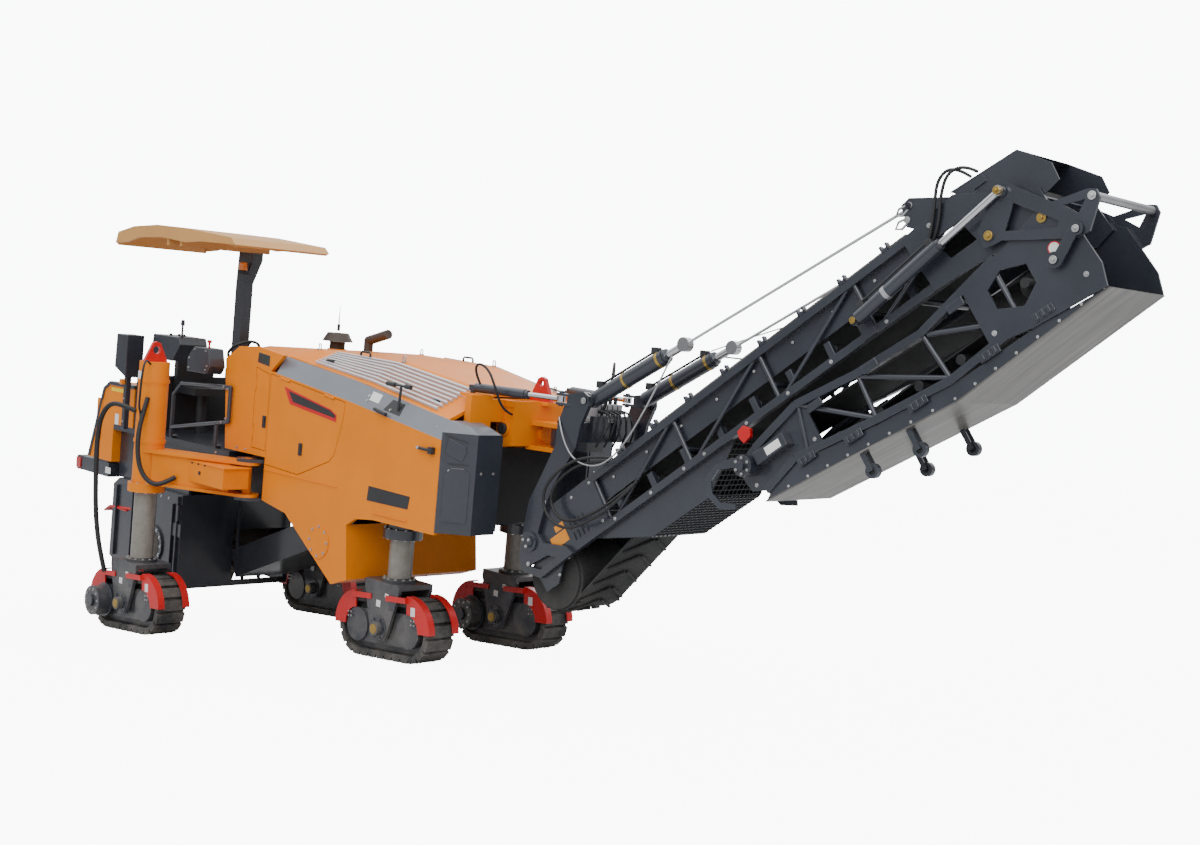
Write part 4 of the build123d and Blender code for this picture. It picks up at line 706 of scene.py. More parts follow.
# %% Tank trim
RIM = [(-5.45, 1.18), (-5.18, 1.985), (-5.045, 2.07), (-4.48, 2.07), (-4.48, 2.03),
       (-5.03, 2.03), (-5.14, 1.965), (-5.4, 1.18)]
bm = bmesh.new()
for side in SIDES:
    plate(bm, RIM, side * 0.985, side * 1.062)
piece("tank_rims", bm, MACHINE, "machine", SLATE, 0.006)
bm = bmesh.new()
for side in SIDES:
    side_slab(bm, side, (-5.0, SIDE, 1.965), (-4.62, 1.0535, 2.005))
piece("yellow_strip", bm, MACHINE, "machine",
      finish("yellow_strip", (0.85, 0.6, 0.01), 0.4, dust=0.2))

# %% Tool box on the arm
bm = bmesh.new()
slab(bm, (-2.767, -1.47, 1.3), (-1.9, -1.18, 1.505))
slab(bm, (-2.79, -1.48, 1.5), (-1.88, -1.17, 1.512))
slab(bm, (-5.3, -1.056, 1.4), (-5.18, -1.05, 1.86))
piece("arm_tool_box", bm, MACHINE, "machine", ORANGE, 0.006)
# thin black discs paint the shade inside the tool box's holes
bm = bmesh.new()
rod(bm, (-2.33, -1.471, 1.405), (-2.33, -1.476, 1.405), 0.02, 16)
for x in (-2.48, -2.36, -2.24):
    rod(bm, (x, -1.471, 1.495), (x, -1.474, 1.495), 0.016, 12)
piece("tool_box_hole_shades", bm, MACHINE, "machine", BLACK)

# %% Rear step
STEP_SIDE = [(-5.062, 0.6), (-4.95, 0.66), (-4.466, 0.7)]
bm = bmesh.new()
for y in (-1.0, -0.7):
    tube(bm, [(x, y, z) for x, z in STEP_SIDE], 0.016)
for (xa, za), (xb, zb) in zip(STEP_SIDE, STEP_SIDE[1:]):
    for share in (0.05, 0.5):
        x, z = xa + (xb - xa) * share, za + (zb - za) * share
        tube(bm, [(x, -1.0, z), (x, -0.7, z)], 0.012)
slab(bm, (-4.9, -1.02, 0.66), (-4.55, -0.68, 0.675))
piece("rear_step", bm, MACHINE, "machine", RED, 0.003)

# %% Bare labels and bolts at the rear
POST_X, POST_Y = -3.084, -1.615
bm = bmesh.new()
slab(bm, (POST_X - 0.045, POST_Y - 0.1525, 2.24), (POST_X + 0.02, POST_Y - 0.149, 2.34))
slab(bm, (-4.88, -1.052, 1.6), (-4.8, -1.05, 1.72))
slab(bm, (-5.02, -1.052, 1.03), (-4.9, -1.05, 1.1))
piece("bare_labels_rear", bm, MACHINE, "machine", LABEL)
bm = bmesh.new()
face_bolts(bm, RIGHT, 1.171, ((-2.55, 1.58), (-2.05, 1.58)), 0.012)
face_bolts(bm, RIGHT, 1.051, ((-2.36, 1.66), (-2.2, 1.66)), 0.01)
piece("arm_bolts", bm, MACHINE, "machine", BOLT)

# %% [markdown]
# The tracks are chains: each shoe is pinned to the next through the loop, and bolted to its
# link. The loop itself belongs to the engineering model; the pins' ends and the shoe bolts are
# repeated along it by the same walk round two half circles that the loop follows.

# %% Places of the legs and the walk round a track
LEGS = (("front_right", 0.0, -0.715, LEFT), ("front_left", 0.0, 0.715, RIGHT),
        ("rear_right", -3.1, -1.615, RIGHT), ("rear_left", -3.1, 0.715, LEFT))
TRACK_FLAT, TRACK_ROUND, SHOES = 0.755, 0.2535, 26
AXLE = 0.2875
ARC = pi * TRACK_ROUND
SHOE_PITCH = 2 * (TRACK_FLAT + ARC) / SHOES


def round_the_loop(distance):
    """A point of the stadium-shaped loop and the outward direction there."""
    half, up = Vector((TRACK_FLAT / 2, 0, 0)), Vector((0, 0, 1))
    distance %= 2 * (TRACK_FLAT + ARC)
    upper = distance < TRACK_FLAT + ARC
    if not upper:
        distance -= TRACK_FLAT + ARC
        half, up = -half, -up
    if distance < TRACK_FLAT:
        return half * (2 * distance / TRACK_FLAT - 1) + up * TRACK_ROUND, up
    turn = (distance - TRACK_FLAT) / TRACK_ROUND
    out = (up * cos(turn) + half.normalized() * sin(turn))
    return half + out * TRACK_ROUND, out


print("shoe pitch", round(SHOE_PITCH, 4))

# %% Track pins and shoe bolts
def track_pins(name, place):
    """The ends of both pins and the four bolt heads of each shoe."""
    bm = bmesh.new()
    centre = Vector((0, 0, AXLE))
    for shoe in range(SHOES):
        for share, depth, half, radius in ((0.99, 0.01, 0.154, 0.011),
                                           (0.32, 0.022, 0.146, 0.008)):
            at, out = round_the_loop((shoe + share) * SHOE_PITCH)
            middle, across = centre + at - out * depth, Vector((0, half, 0))
            rod(bm, middle - across, middle + across, radius, 8)
        for share in (0.3, 0.68):
            at, out = round_the_loop((shoe + share) * SHOE_PITCH)
            for offset in (-0.075, 0.075):
                foot = centre + at + out * 0.033 + Vector((0, offset, 0))
                rod(bm, foot, foot + out * 0.004, 0.011, 6)
    piece("track_pins_" + name, bm, place, "leg_" + name, TRACK)


print("track pins ready")

# %% [markdown]
# The drive motor's cover stands on the outer face of a track, and round covers close the pin
# that the track rocks on. Each cover is a turned disc with its ring of bolts.

# %% Hubs and pin caps
HUB_X = -TRACK_FLAT / 2
CHEEK = 0.196


def hub_fittings(name, place, outside):
    """Bolts, covers and yellow caps of one track's axles."""
    body = "leg_" + name
    bm = bmesh.new()
    bolts(bm, ring_of((HUB_X, outside * 0.32, PIN_HEIGHT), 0.118, 10), (0, outside, 0), 0.01)
    for side in SIDES:
        bolts(bm, ring_of((0, side * (CHEEK + 0.001), PIN_HEIGHT), 0.092, 6), (0, side, 0), 0.011)
    piece("hub_bolts_" + name, bm, place, body, BOLT)
    bm = bmesh.new()
    for near, far, radius, sides in ((0.32, 0.35, 0.06, 20), (0.16, 0.19, 0.175, 28)):
        rod(bm, (HUB_X, outside * near, PIN_HEIGHT), (HUB_X, outside * far, PIN_HEIGHT), radius,
            sides)
    stub_pair(bm, 0, PIN_HEIGHT, CHEEK, CHEEK + 0.01, 0.115, 24)
    for side in SIDES:
        slab(bm, (0.145, side * CHEEK - 0.004, 0.47), (0.235, side * CHEEK + 0.008, 0.6))
    piece("hub_covers_" + name, bm, place, body, SLATE, 0.005)
    bm = bmesh.new()
    stub_pair(bm, 0, PIN_HEIGHT, 0.256, 0.262, 0.046)
    piece("pin_caps_" + name, bm, place, body, BRASS, 0.002)


print("hub fittings ready")

# %% Bolts and bare labels of the yoke and the guards
GUARD_FACE = 0.1745
CORNER_BOLTS = [(x, z) for x in (0.45, 0.49, -0.45, -0.49) for z in (0.4, 0.36)]


def yoke_fittings(name, upright):
    """The ring of bolts round the column and two labels on each cheek."""
    bm = bmesh.new()
    bolts(bm, ring_of((0, 0, 0.4555), 0.139, 12, "xy", 0.13), (0, 0, 1), 0.011)
    piece("column_bolts_" + name, bm, upright, "leg_" + name, BOLT)
    bm = bmesh.new()
    for side in SIDES:
        side_slab(bm, side, (-0.06, CHEEK, 0.195), (0.0, CHEEK + 0.003, 0.255))
        side_slab(bm, side, (0.06, CHEEK, 0.3), (0.11, CHEEK + 0.003, 0.335))
    piece("yoke_labels_" + name, bm, upright, "leg_" + name, LABEL)


def guard_fittings(name, place):
    """A label and the corner bolts on each of a track's two guards."""
    bm = bmesh.new()
    for side in SIDES:
        side_slab(bm, side, (0.44, GUARD_FACE, 0.44), (0.5, GUARD_FACE + 0.0015, 0.52))
    piece("guard_labels_" + name, bm, place, "leg_" + name, LABEL)
    bm = bmesh.new()
    for side in SIDES:
        face_bolts(bm, side, GUARD_FACE, CORNER_BOLTS, 0.007, 0.006)
    piece("guard_bolts_" + name, bm, place, "leg_" + name, BOLT)


print("yoke and guard fittings ready")

# %% [markdown]
# A track stays level on the floor while its yoke leans with the body, so each leg has two
# places: one level and one upright in the machine's frame.

# %% Fittings of the four legs
for name, x, y, outside in LEGS:
    place = GROUND @ Matrix.Translation((x, y, 0))
    pin = (x * cos(BODY_PITCH), y, PIN_HEIGHT + x * sin(BODY_PITCH))
    track_pins(name, place)
    hub_fittings(name, place, outside)
    yoke_fittings(name, MACHINE @ Matrix.Translation(pin))
    guard_fittings(name, place)

# %% Flange bolts where the legs enter the body
bm = bmesh.new()
for name, x, y, outside in LEGS:
    for level, way in ((1.121, -1), (1.21, 1)):
        centre = (x * cos(BODY_PITCH), y, level)
        bolts(bm, ring_of(centre, 0.168, 12, "xy"), (0, 0, way), 0.011)
piece("flange_bolts", bm, MACHINE, "machine", BOLT)

# %% [markdown]
# The drum's housing is welded from plate, with ribs, a ring of bolts round the drum's bearing
# and rows of bolts that let its wear plates be changed.

# %% Drum housing ribs and bolts
HOUSING = 1.002
bm = bmesh.new()
for x, bottom, top in ((-3.46, 0.02, 0.99), (-3.56, 0.1, 0.9), (-4.42, 0.1, 0.98),
                       (-4.78, 0.14, 0.93)):
    side_slab(bm, RIGHT, (x - 0.012, HOUSING, bottom), (x + 0.012, HOUSING + 0.03, top))
side_slab(bm, RIGHT, (-3.46, HOUSING, 0.02), (-4.6, HOUSING + 0.02, 0.11))
side_slab(bm, RIGHT, (-3.38, HOUSING, 0.56), (-3.6, HOUSING + 0.016, 0.7))
side_slab(bm, RIGHT, (-3.44, HOUSING, 0.74), (-3.4, HOUSING + 0.05, 0.9))
piece("housing_ribs", bm, MACHINE, "machine", SLATE, 0.004)
bm = bmesh.new()
bolts(bm, ring_of((-3.95, -HOUSING - 0.02, 0.4), 0.185, 12), (0, RIGHT, 0), 0.014)
face_bolts(bm, RIGHT, HOUSING + 0.02, [(x, 0.065) for x in (-3.5, -3.7, -4.3, -4.5)], 0.012)
face_bolts(bm, RIGHT, HOUSING, [(-3.68 - 0.16 * k, 0.94) for k in range(6)], 0.012)
piece("housing_bolts", bm, MACHINE, "machine", BOLT)

# %% [markdown]
# The boom is welded from box chord and round struts. Trough plates are bolted to the chords,
# and small clamps carry the idler rollers under the belt. Fittings repeat at even steps, so
# each row is one loop.

# %% Bolts of the boom
CHORD_BOLTS = [(x, -0.03) for x in (0.33, 0.78, 1.18, 1.42, 1.9, 2.35, 2.8, 3.35)]
ROOT_BOLTS = ((-0.47, -0.15), (-0.3, -0.07), (0.2, 0.02), (-0.02, 0.36), (0.22, 0.37))
bm = bmesh.new()
for side in SIDES:
    face_bolts(bm, side, CHORD_FACE, CHORD_BOLTS, 0.011)
    face_bolts(bm, side, 0.353, [(0.45 + 0.42 * k, 0.3) for k in range(8)], 0.009)
    bolts(bm, ring_of((-0.606, side * 0.506, 0.243), 0.038, 3), (0, side, 0), 0.01)
    face_bolts(bm, side, CHORD_FACE, ROOT_BOLTS, 0.01)
    face_bolts(bm, side, 0.425, ((3.62, 0.16), (3.99, 0.36), (4.5, 0.22)), 0.013)
piece("boom_bolts", bm, BOOM, "boom", BOLT)

# %% Clips, idler brackets and louvres of the boom
CLIP_Y, CLIP_HALF = 0.39, 0.022
bm = bmesh.new()
for side in SIDES:
    for x in [0.62 + 0.42 * k for k in range(8)]:
        for start, end, top in ((0, 0.075, 0.44), (0, 0.02, 0.468), (0.055, 0.075, 0.468)):
            slab(bm, (x + start, side * CLIP_Y - CLIP_HALF, 0.415),
                 (x + end, side * CLIP_Y + CLIP_HALF, top))
    for x in [0.4 + 0.4 * k for k in range(9)]:
        side_slab(bm, side, (x - 0.03, 0.3, 0.02), (x + 0.03, 0.35, 0.14))
    for z in (0.02, 0.12):
        for x in [-0.16 + 0.055 * k for k in range(4)]:
            side_slab(bm, side, (x, CHORD_FACE, z), (x + 0.018, CHORD_FACE + 0.012, z + 0.07))
stub_pair(bm, -0.69, 0.13, 0.385, 0.43, 0.036)
piece("boom_clips_and_louvres", bm, BOOM, "boom", SLATE, 0.004)
bm = bmesh.new()
for k in range(9):
    x = 0.4 + 0.4 * k
    rod(bm, (x, -0.3, 0.075), (x, 0.3, 0.075), 0.038, 14)
piece("boom_idlers", bm, BOOM, "boom", BLACK, 0.004)

# %% Bare signs and rope shackles
BOW = ((0.055, 0.012), (-0.03, 0.03), (-0.075, 0), (-0.03, -0.03), (0.055, -0.012))
bm = bmesh.new()
for side in SIDES:
    for x, low_z, high_z in ((-0.42, 0.06, 0.165), (-0.33, 0.18, 0.235)):
        side_slab(bm, side, (x, CHORD_FACE, low_z), (-0.215, CHORD_FACE + 0.0025, high_z))
piece("boom_bare_signs", bm, BOOM, "boom", SIGN)
bm = bmesh.new()
for side in SIDES:
    for x, z in ((3.905, 0.6), (3.84, 0.52)):
        rod(bm, (x, side * 0.345, z), (x, side * 0.375, z), 0.026, 16)
    for x, z in ((3.85, 0.6), (3.8, 0.52)):
        tube(bm, [(x + ahead, side * 0.36, z + up) for ahead, up in BOW], 0.01)
piece("rope_shackles", bm, BOOM, "boom", STEEL, 0.001, True)

# %% [markdown]
# The belt guard under the boom is a sheet of crossed wires. Each wire is a thin bar, because
# the openings show and a flat sheet would close them.

# %% Mesh of the belt guard
GUARD_LINE = [(0.05, -0.068), (0.58, -0.334), (1.24, -0.334), (1.69, -0.068)]
WIRE, OPENING = 0.004, 0.045
bm = bmesh.new()
for (xa, za), (xb, zb) in zip(GUARD_LINE, GUARD_LINE[1:]):
    steps = int(Vector((xb - xa, zb - za)).length / OPENING)
    for step in range(steps):
        share = (step + 0.5) / steps
        x, z = xa + (xb - xa) * share, za + (zb - za) * share
        slab(bm, (x - WIRE, -0.345, z - WIRE), (x + WIRE, 0.345, z + WIRE))
    for k in range(13):
        y = -0.33 + 0.055 * k
        rod(bm, (xa, y, za), (xb, y, zb), WIRE, 4)
piece("guard_mesh", bm, BOOM, "boom", BLACK)

# %% [markdown]
# The cleats are moulded on the belt in chevrons. They lie on its outer face, so they show where
# the belt turns round the tail drum under the boom.

# %% Chevron cleats at the tail and along the return run
def cleat(bm, at, along, out):
    """One chevron: two bars from the belt's edges that meet ahead of its middle."""
    at, along, out = Vector(at), Vector(along).normalized(), Vector(out).normalized()
    for side in SIDES:
        foot = at + Vector((0, side * 0.27, 0)) - along * 0.08
        tip = at + Vector((0, side * 0.015, 0)) + along * 0.08
        rod(bm, foot + out * 0.004, tip + out * 0.004, 0.014, 6)


bm = bmesh.new()
tail = Vector((-0.6, 0, -0.11))
for k in range(9):
    turn = radians(105 + 24 * k)
    out = Vector((cos(turn), 0, sin(turn)))
    cleat(bm, tail + out * 0.297, Vector((-sin(turn), 0, cos(turn))), out)
run_a, run_b = Vector((-0.52, 0, -0.404)), Vector((1.44, 0, -0.02))
along = (run_b - run_a).normalized()
for k in range(9):
    cleat(bm, run_a + (run_b - run_a) * (k + 0.5) / 9, along, (along.z, 0, -along.x))
piece("boom_cleats", bm, BOOM, "boom", RUBBER)

# %% [markdown]
# At the fold every pin is a turned part with a passivated or plated head, each on its own
# body. The crossbar is bright pipe.

# %% Pins of the fold
def heads(bm, x, z, face, radius):
    """A turned pin's flange and its nipple on each side."""
    flange = face + 0.01
    stub_pair(bm, x, z, face, flange, radius)
    stub_pair(bm, x, z, flange, flange + 0.012, radius * 0.45, 6)


for name, body, material, pins in (
        ("boom_fold_pins", "boom", BRASS,
         ((4.73, -0.1, 0.459, 0.036), (4.36, 0.006, 0.493, 0.034))),
        ("rod_fold_pins", "fold_rods", BRASS, ((4.59, 0.21, 0.561, 0.028),)),
        ("crank_pins", "fold_crank", BOLT,
         ((5.1, -0.19, 0.485, 0.03), (4.91, -0.322, 0.521, 0.026))),
        ("link_pins", "fold_links", BOLT, ((4.68, -0.412, 0.523, 0.028),))):
    bm = bmesh.new()
    for x, z, face, radius in pins:
        heads(bm, x, z, face, radius)
    piece(name, bm, BOOM, body, material, 0.003)
bm = bmesh.new()
rod(bm, (5.1, -0.455, -0.19), (5.1, 0.455, -0.19), 0.0305, 24)
piece("crossbar_pipe", bm, BOOM, "fold_crank", STEEL, 0.002, True)
bm = bmesh.new()
stub_pair(bm, 3.194, 0.071, 0.565, 0.572, 0.026, 16)
piece("foot_pins", bm, BOOM, "boom", BRASS, 0.002)

# %% [markdown]
# The folding head lies under the boom. Bolts follow the edge of its cover, clips hold the sheet
# down, and a hydraulic motor turns the drum at its far end.

# %% Bolts of the head
COVER_LINE = [(4.85, -0.735), (3.56, -0.805), (1.83, -0.632)]
END_BOLTS = ((2.38, -0.24), (2.4, -0.46), (1.76, -0.5), (1.72, -0.3))
MOTOR_X, MOTOR_Z = 1.8, -0.35
bm = bmesh.new()
for side in SIDES:
    for (xa, za), (xb, zb), count in zip(COVER_LINE, COVER_LINE[1:], (7, 9)):
        row = [(xa + (xb - xa) * k / count, za + (zb - za) * k / count) for k in range(count)]
        face_bolts(bm, side, 0.4355, row, 0.008, 0.006)
    face_bolts(bm, side, 0.456, ((4.05, -0.58), (4.8, -0.6)), 0.014)
    face_bolts(bm, side, 0.4255, END_BOLTS, 0.012)
    bolts(bm, ring_of((MOTOR_X, side * 0.57, MOTOR_Z), 0.062, 6), (0, side, 0), 0.009)
piece("head_bolts", bm, BOOM, "head", BOLT)

# %% Clips, motors and idlers of the head
PLATE_FACE = 0.455
bm = bmesh.new()
for side in SIDES:
    for x, z in ((4.42, -0.655), (3.95, -0.68), (3.3, -0.69), (2.72, -0.625),
                 (2.28, -0.56)):
        for at in (x - 0.05, x, x + 0.05):
            side_slab(bm, side, (at - 0.012, PLATE_FACE, z - 0.024),
                      (at + 0.012, PLATE_FACE + 0.025, z + 0.024))
        side_slab(bm, side, (x - 0.085, PLATE_FACE, z - 0.03),
                  (x + 0.085, PLATE_FACE + 0.007, z + 0.03))
    for x in (3.9, 3.1, 2.55):
        side_slab(bm, side, (x - 0.07, PLATE_FACE, -0.285), (x + 0.07, PLATE_FACE + 0.02, -0.225))
    side_slab(bm, side, (1.9, 0.425, -0.4), (2.22, 0.52, -0.3))
stub_pair(bm, MOTOR_X, MOTOR_Z, 0.405, 0.565, 0.085, 24)
stub_pair(bm, MOTOR_X, MOTOR_Z, 0.56, 0.6, 0.034, 16)
piece("head_clips_and_motors", bm, BOOM, "head", SLATE, 0.005)
bm = bmesh.new()
for k in range(6):
    x, z = 2.15 + 0.38 * k, -0.5 - 0.012 * k
    rod(bm, (x, -0.3, z), (x, 0.3, z), 0.04, 14)
for side in SIDES:
    for x, z in ((2.7, -0.9), (3.12, -0.96)):
        for y in (-0.38, 0.38):
            rod(bm, (x, y - 0.027, z), (x, y + 0.027, z), 0.03, 16)
piece("head_idlers", bm, BOOM, "head", BLACK, 0.004)

# %% Bare sign, labels and hooks
bm = bmesh.new()
stub_pair(bm, 4.7, -0.325, PLATE_FACE, 0.457, 0.046, 32)
piece("sign_ring", bm, BOOM, "head", RED)
bm = bmesh.new()
stub_pair(bm, 4.7, -0.325, 0.457, 0.4585, 0.038, 32)
for side in SIDES:
    side_slab(bm, side, (2.02, 0.52, -0.385), (2.17, 0.5215, -0.32))
piece("bare_head_labels", bm, BOOM, "head", LABEL)
HOOK = [(1.82, -0.165), (1.9, -0.15), (1.93, -0.095), (1.88, -0.04), (1.81, -0.055),
        (1.8, -0.11)]
bm = bmesh.new()
for side in SIDES:
    plate(bm, HOOK, side * 0.403, side * 0.44)
piece("red_hooks", bm, BOOM, "boom", RED, 0.004)

# %% [markdown]
# Cylinders carry straps, ports and hard pipes, and the valve block stands between the two side
# plates of the slewing frame, with its stack of sections and its stubs.

# %% Lift cylinder pipes and straps
LIFT_FOOT = Vector((1.87, 0, 2.6))
LIFT_LINE = Vector((0.8621, 0, 0.5067))
LIFT_SIDE = Vector((-0.5067, 0, 0.8621))


def block(bm, middle, half):
    """A box round its middle."""
    slab(bm, middle - Vector(half), middle + Vector(half))


bm, straps = bmesh.new(), bmesh.new()
for side in SIDES:
    start = LIFT_FOOT + Vector((0, side * 0.32, 0))
    for at in (0.4, 0.8):
        rod(straps, start + LIFT_LINE * at, start + LIFT_LINE * (at + 0.026), 0.071, 24)
    top = start + LIFT_SIDE * 0.086
    tube(bm, [top + LIFT_LINE * 0.16, top + LIFT_LINE * 0.78], 0.011)
    for at in (0.14, 0.8):
        block(bm, start + LIFT_LINE * at + LIFT_SIDE * 0.085, (0.035, 0.028, 0.03))
piece("lift_cylinder_pipes", bm, CONVEYOR, "lift_barrels", BLACK, 0.003)
piece("lift_cylinder_straps", straps, CONVEYOR, "lift_barrels", BRASS, 0.002)

# %% Valve block, its stubs and the slewing frame's bolts
SECTIONS = range(5)
bm = bmesh.new()
for k in SECTIONS:
    slab(bm, (1.66, -0.17 + 0.068 * k, 2.405), (1.79, -0.115 + 0.068 * k, 2.56))
slab(bm, (1.65, -0.18, 2.4), (1.8, 0.18, 2.44))
piece("valve_block", bm, CONVEYOR, "slew_frame", STEEL, 0.004)
bm = bmesh.new()
for y in [-0.142 + 0.068 * k for k in SECTIONS]:
    rod(bm, (1.725, y, 2.56), (1.725, y, 2.62), 0.018, 12)
    rod(bm, (1.79, y, 2.5), (1.85, y, 2.5), 0.014, 12)
    tube(bm, [(1.85, y, 2.5), (1.9, y, 2.49), (1.93, y, 2.44), (1.92, y * 1.4, 2.32),
              (1.86, y * 1.6, 2.2)], 0.01)
piece("valve_stubs_and_pipes", bm, CONVEYOR, "slew_frame", HOSE)
bm = bmesh.new()
for side in SIDES:
    face_bolts(bm, side, 0.45, ((1.4, 1.12), (1.53, 1.68)), 0.014)
    bolts(bm, ring_of((1.87, side * 0.462, 2.6), 0.02, 1), (0, side, 0), 0.02)
piece("slew_frame_bolts", bm, CONVEYOR, "slew_frame", BOLT)

# %% Fold cylinder pipes and straps
FOLD_FOOT = Vector((3.194, 0, 0.071))
FOLD_LINE = Vector((0.99508, 0, 0.09908))
bm, straps = bmesh.new(), bmesh.new()
for side in SIDES:
    start = FOLD_FOOT + Vector((0, side * 0.525, 0))
    rod(straps, start + FOLD_LINE * 0.3, start + FOLD_LINE * 0.335, 0.0535, 24)
    for at in (0.1, 0.78):
        block(bm, start + FOLD_LINE * at + Vector((0, 0, 0.066)), (0.028, 0.02, 0.022))
    top = start + Vector((0, 0, 0.078))
    tube(bm, [top + FOLD_LINE * 0.12, top + FOLD_LINE * 0.76], 0.009)
piece("fold_cylinder_pipes", bm, BOOM, "fold_barrels", BLACK, 0.003)
piece("fold_cylinder_straps", straps, BOOM, "fold_barrels", STEEL, 0.002)

# %% [markdown]
# The beam across the nose ends in black caps with an orange ring behind each, and two small
# plates stand over it between the corner covers.

# %% Nose fittings
bm = bmesh.new()
stub_pair(bm, 0.895, 2.245, 0.38, 0.425, 0.05, 24)
piece("beam_caps", bm, MACHINE, "machine", BLACK, 0.006)
bm = bmesh.new()
stub_pair(bm, 0.895, 2.245, 0.38, 0.398, 0.068, 24)
for side in SIDES:
    side_slab(bm, side, (0.79, 0.379, 2.44), (1.0, 0.391, 2.5))
piece("beam_rings", bm, MACHINE, "machine", ORANGE, 0.004)

# %% [markdown]
# Each corner cover is a moulded cap as well as a wall: its top slopes from the grey band down to
# the front edge in a few flat facets. The cap is the hull of its rim and of a few raised points,
# which gives such facets without working each face out.

# %% Corner cover caps
COVER_RIM = [(0.845, -SIDE), (1.065, -0.825), (1.065, -0.556), (0.845, -0.556)]
COVER_TOP = [(0.845, -1.048, 2.203), (0.835, -0.952, 2.3), (0.835, -0.64, 2.3),
             (0.96, -0.83, 2.262), (0.99, -0.64, 2.262)]
for word, flip in FLIPS:
    bm = bmesh.new()
    for point in [(x, y, 2.199) for x, y in COVER_RIM] + COVER_TOP:
        bm.verts.new(point)
    hull = bmesh.ops.convex_hull(bm, input=bm.verts)
    inside = [part for part in hull["geom_interior"] if isinstance(part, bmesh.types.BMVert)]
    bmesh.ops.delete(bm, geom=inside, context="VERTS")
    # the cap wears the band finish with its painted reflection of the sky
    piece("corner_cap_" + word, bm, flip, "machine", BAND_AND_PAINTED_REFLECTION, 0.01)

# %% [markdown]
# Hoses and slack safety ropes hang free. Each is one smooth curve through the places where it
# is clipped or turns, as long as the real one would have to be.

# %% Free hoses and ropes
def hose(name, points, radius, place, body, material):
    """A free hose or rope: one NURBS curve through its points."""
    curve = bpy.data.curves.new(name, "CURVE")
    curve.dimensions = "3D"
    curve.resolution_u = 10
    spline = curve.splines.new("NURBS")
    spline.points.add(len(points) - 1)
    places = [place @ Vector(point) for point in points]
    for point, spot in zip(spline.points, places):
        point.co = (*spot, 1)
    spline.order_u = 3
    spline.use_endpoint_u = True
    made = bpy.data.objects.new(name, curve)
    bpy.context.scene.collection.objects.link(made)
    line = bpy.data.meshes.new_from_object(made)
    bpy.data.meshes.remove(line)
    curve.bevel_depth = radius
    curve.bevel_resolution = 3
    curve.use_fill_caps = True
    curve.materials.append(material)
    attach(made, body)


HOSES = (
    ("leg_hose", 0.025, MACHINE, "machine", "stiff", "hanging",
     [(-3.14, -1.763, 1.93), (-3.22, -1.84, 1.97), (-3.38, -1.91, 1.99), (-3.51, -1.94, 1.84),
      (-3.55, -1.945, 1.6), (-3.53, -1.945, 1.25), (-3.49, -1.94, 0.85), (-3.45, -1.9, 0.5),
      (-3.43, -1.83, 0.24)]),
    ("arm_hose", 0.024, MACHINE, "machine", "stiff", "loose",
     [(-2.978, -1.728, 2.08), (-2.945, -1.79, 1.92), (-2.915, -1.84, 1.73), (-2.89, -1.85, 1.53),
      (-2.84, -1.83, 1.36), (-2.76, -1.77, 1.25), (-2.68, -1.68, 1.24), (-2.65, -1.55, 1.32)]),
    ("post_hose", 0.011, MACHINE, "machine", "medium", "hanging",
     [(-2.978, -1.724, 2.42), (-2.935, -1.79, 2.47), (-2.88, -1.85, 2.42), (-2.87, -1.87, 2.28),
      (-2.88, -1.87, 2.12), (-2.92, -1.85, 1.99), (-2.99, -1.79, 1.93), (-3.03, -1.765, 1.86)]),
    ("boom_hose_a", 0.013, BOOM, "boom", "medium", "hanging",
     [(0.5, -0.41, 0.42), (0.32, -0.47, 0.52), (0.05, -0.49, 0.54), (-0.16, -0.49, 0.47),
      (-0.2, -0.49, 0.3), (-0.08, -0.49, 0.15), (0.2, -0.48, 0.09), (0.45, -0.46, 0.09),
      (0.64, -0.394, 0.125)]),
    ("boom_hose_b", 0.013, BOOM, "boom", "medium", "hanging",
     [(0.56, -0.41, 0.42), (0.36, -0.48, 0.56), (0.05, -0.525, 0.59), (-0.21, -0.525, 0.51),
      (-0.26, -0.525, 0.3), (-0.12, -0.525, 0.1), (0.18, -0.51, 0.04), (0.46, -0.48, 0.05),
      (0.69, -0.394, 0.125)]),
    ("head_hose_a", 0.012, BOOM, "boom", "medium", "hanging",
     [(4.48, -0.4, 0.47), (4.43, -0.42, 0.56), (4.3, -0.44, 0.59), (4.18, -0.446, 0.48),
      (4.08, -0.446, 0.33), (3.96, -0.432, 0.23), (3.84, -0.4, 0.2)]),
    ("head_hose_b", 0.012, BOOM, "boom", "medium", "hanging",
     [(4.42, -0.398, 0.47), (4.36, -0.42, 0.61), (4.22, -0.446, 0.6), (4.1, -0.446, 0.44),
      (3.99, -0.446, 0.3), (3.89, -0.434, 0.215), (3.8, -0.396, 0.2)]),
    ("slew_hose", 0.011, MACHINE, "machine", "medium", "hanging",
     [(0.796, -0.622, 2.622), (0.77, -0.68, 2.74), (0.86, -0.72, 2.82), (0.99, -0.71, 2.77),
      (1.05, -0.68, 2.64), (1.05, -0.6, 2.48), (1.02, -0.48, 2.4), (0.985, -0.392, 2.38)]),
    ("lift_hose", 0.012, CONVEYOR, "slew_frame", "medium", "loose",
     [(1.79, -0.11, 2.47), (1.83, -0.08, 2.62), (1.86, -0.09, 2.8), (1.94, -0.17, 2.93),
      (2.04, -0.28, 2.93), (2.08, -0.322, 2.818)]),
)
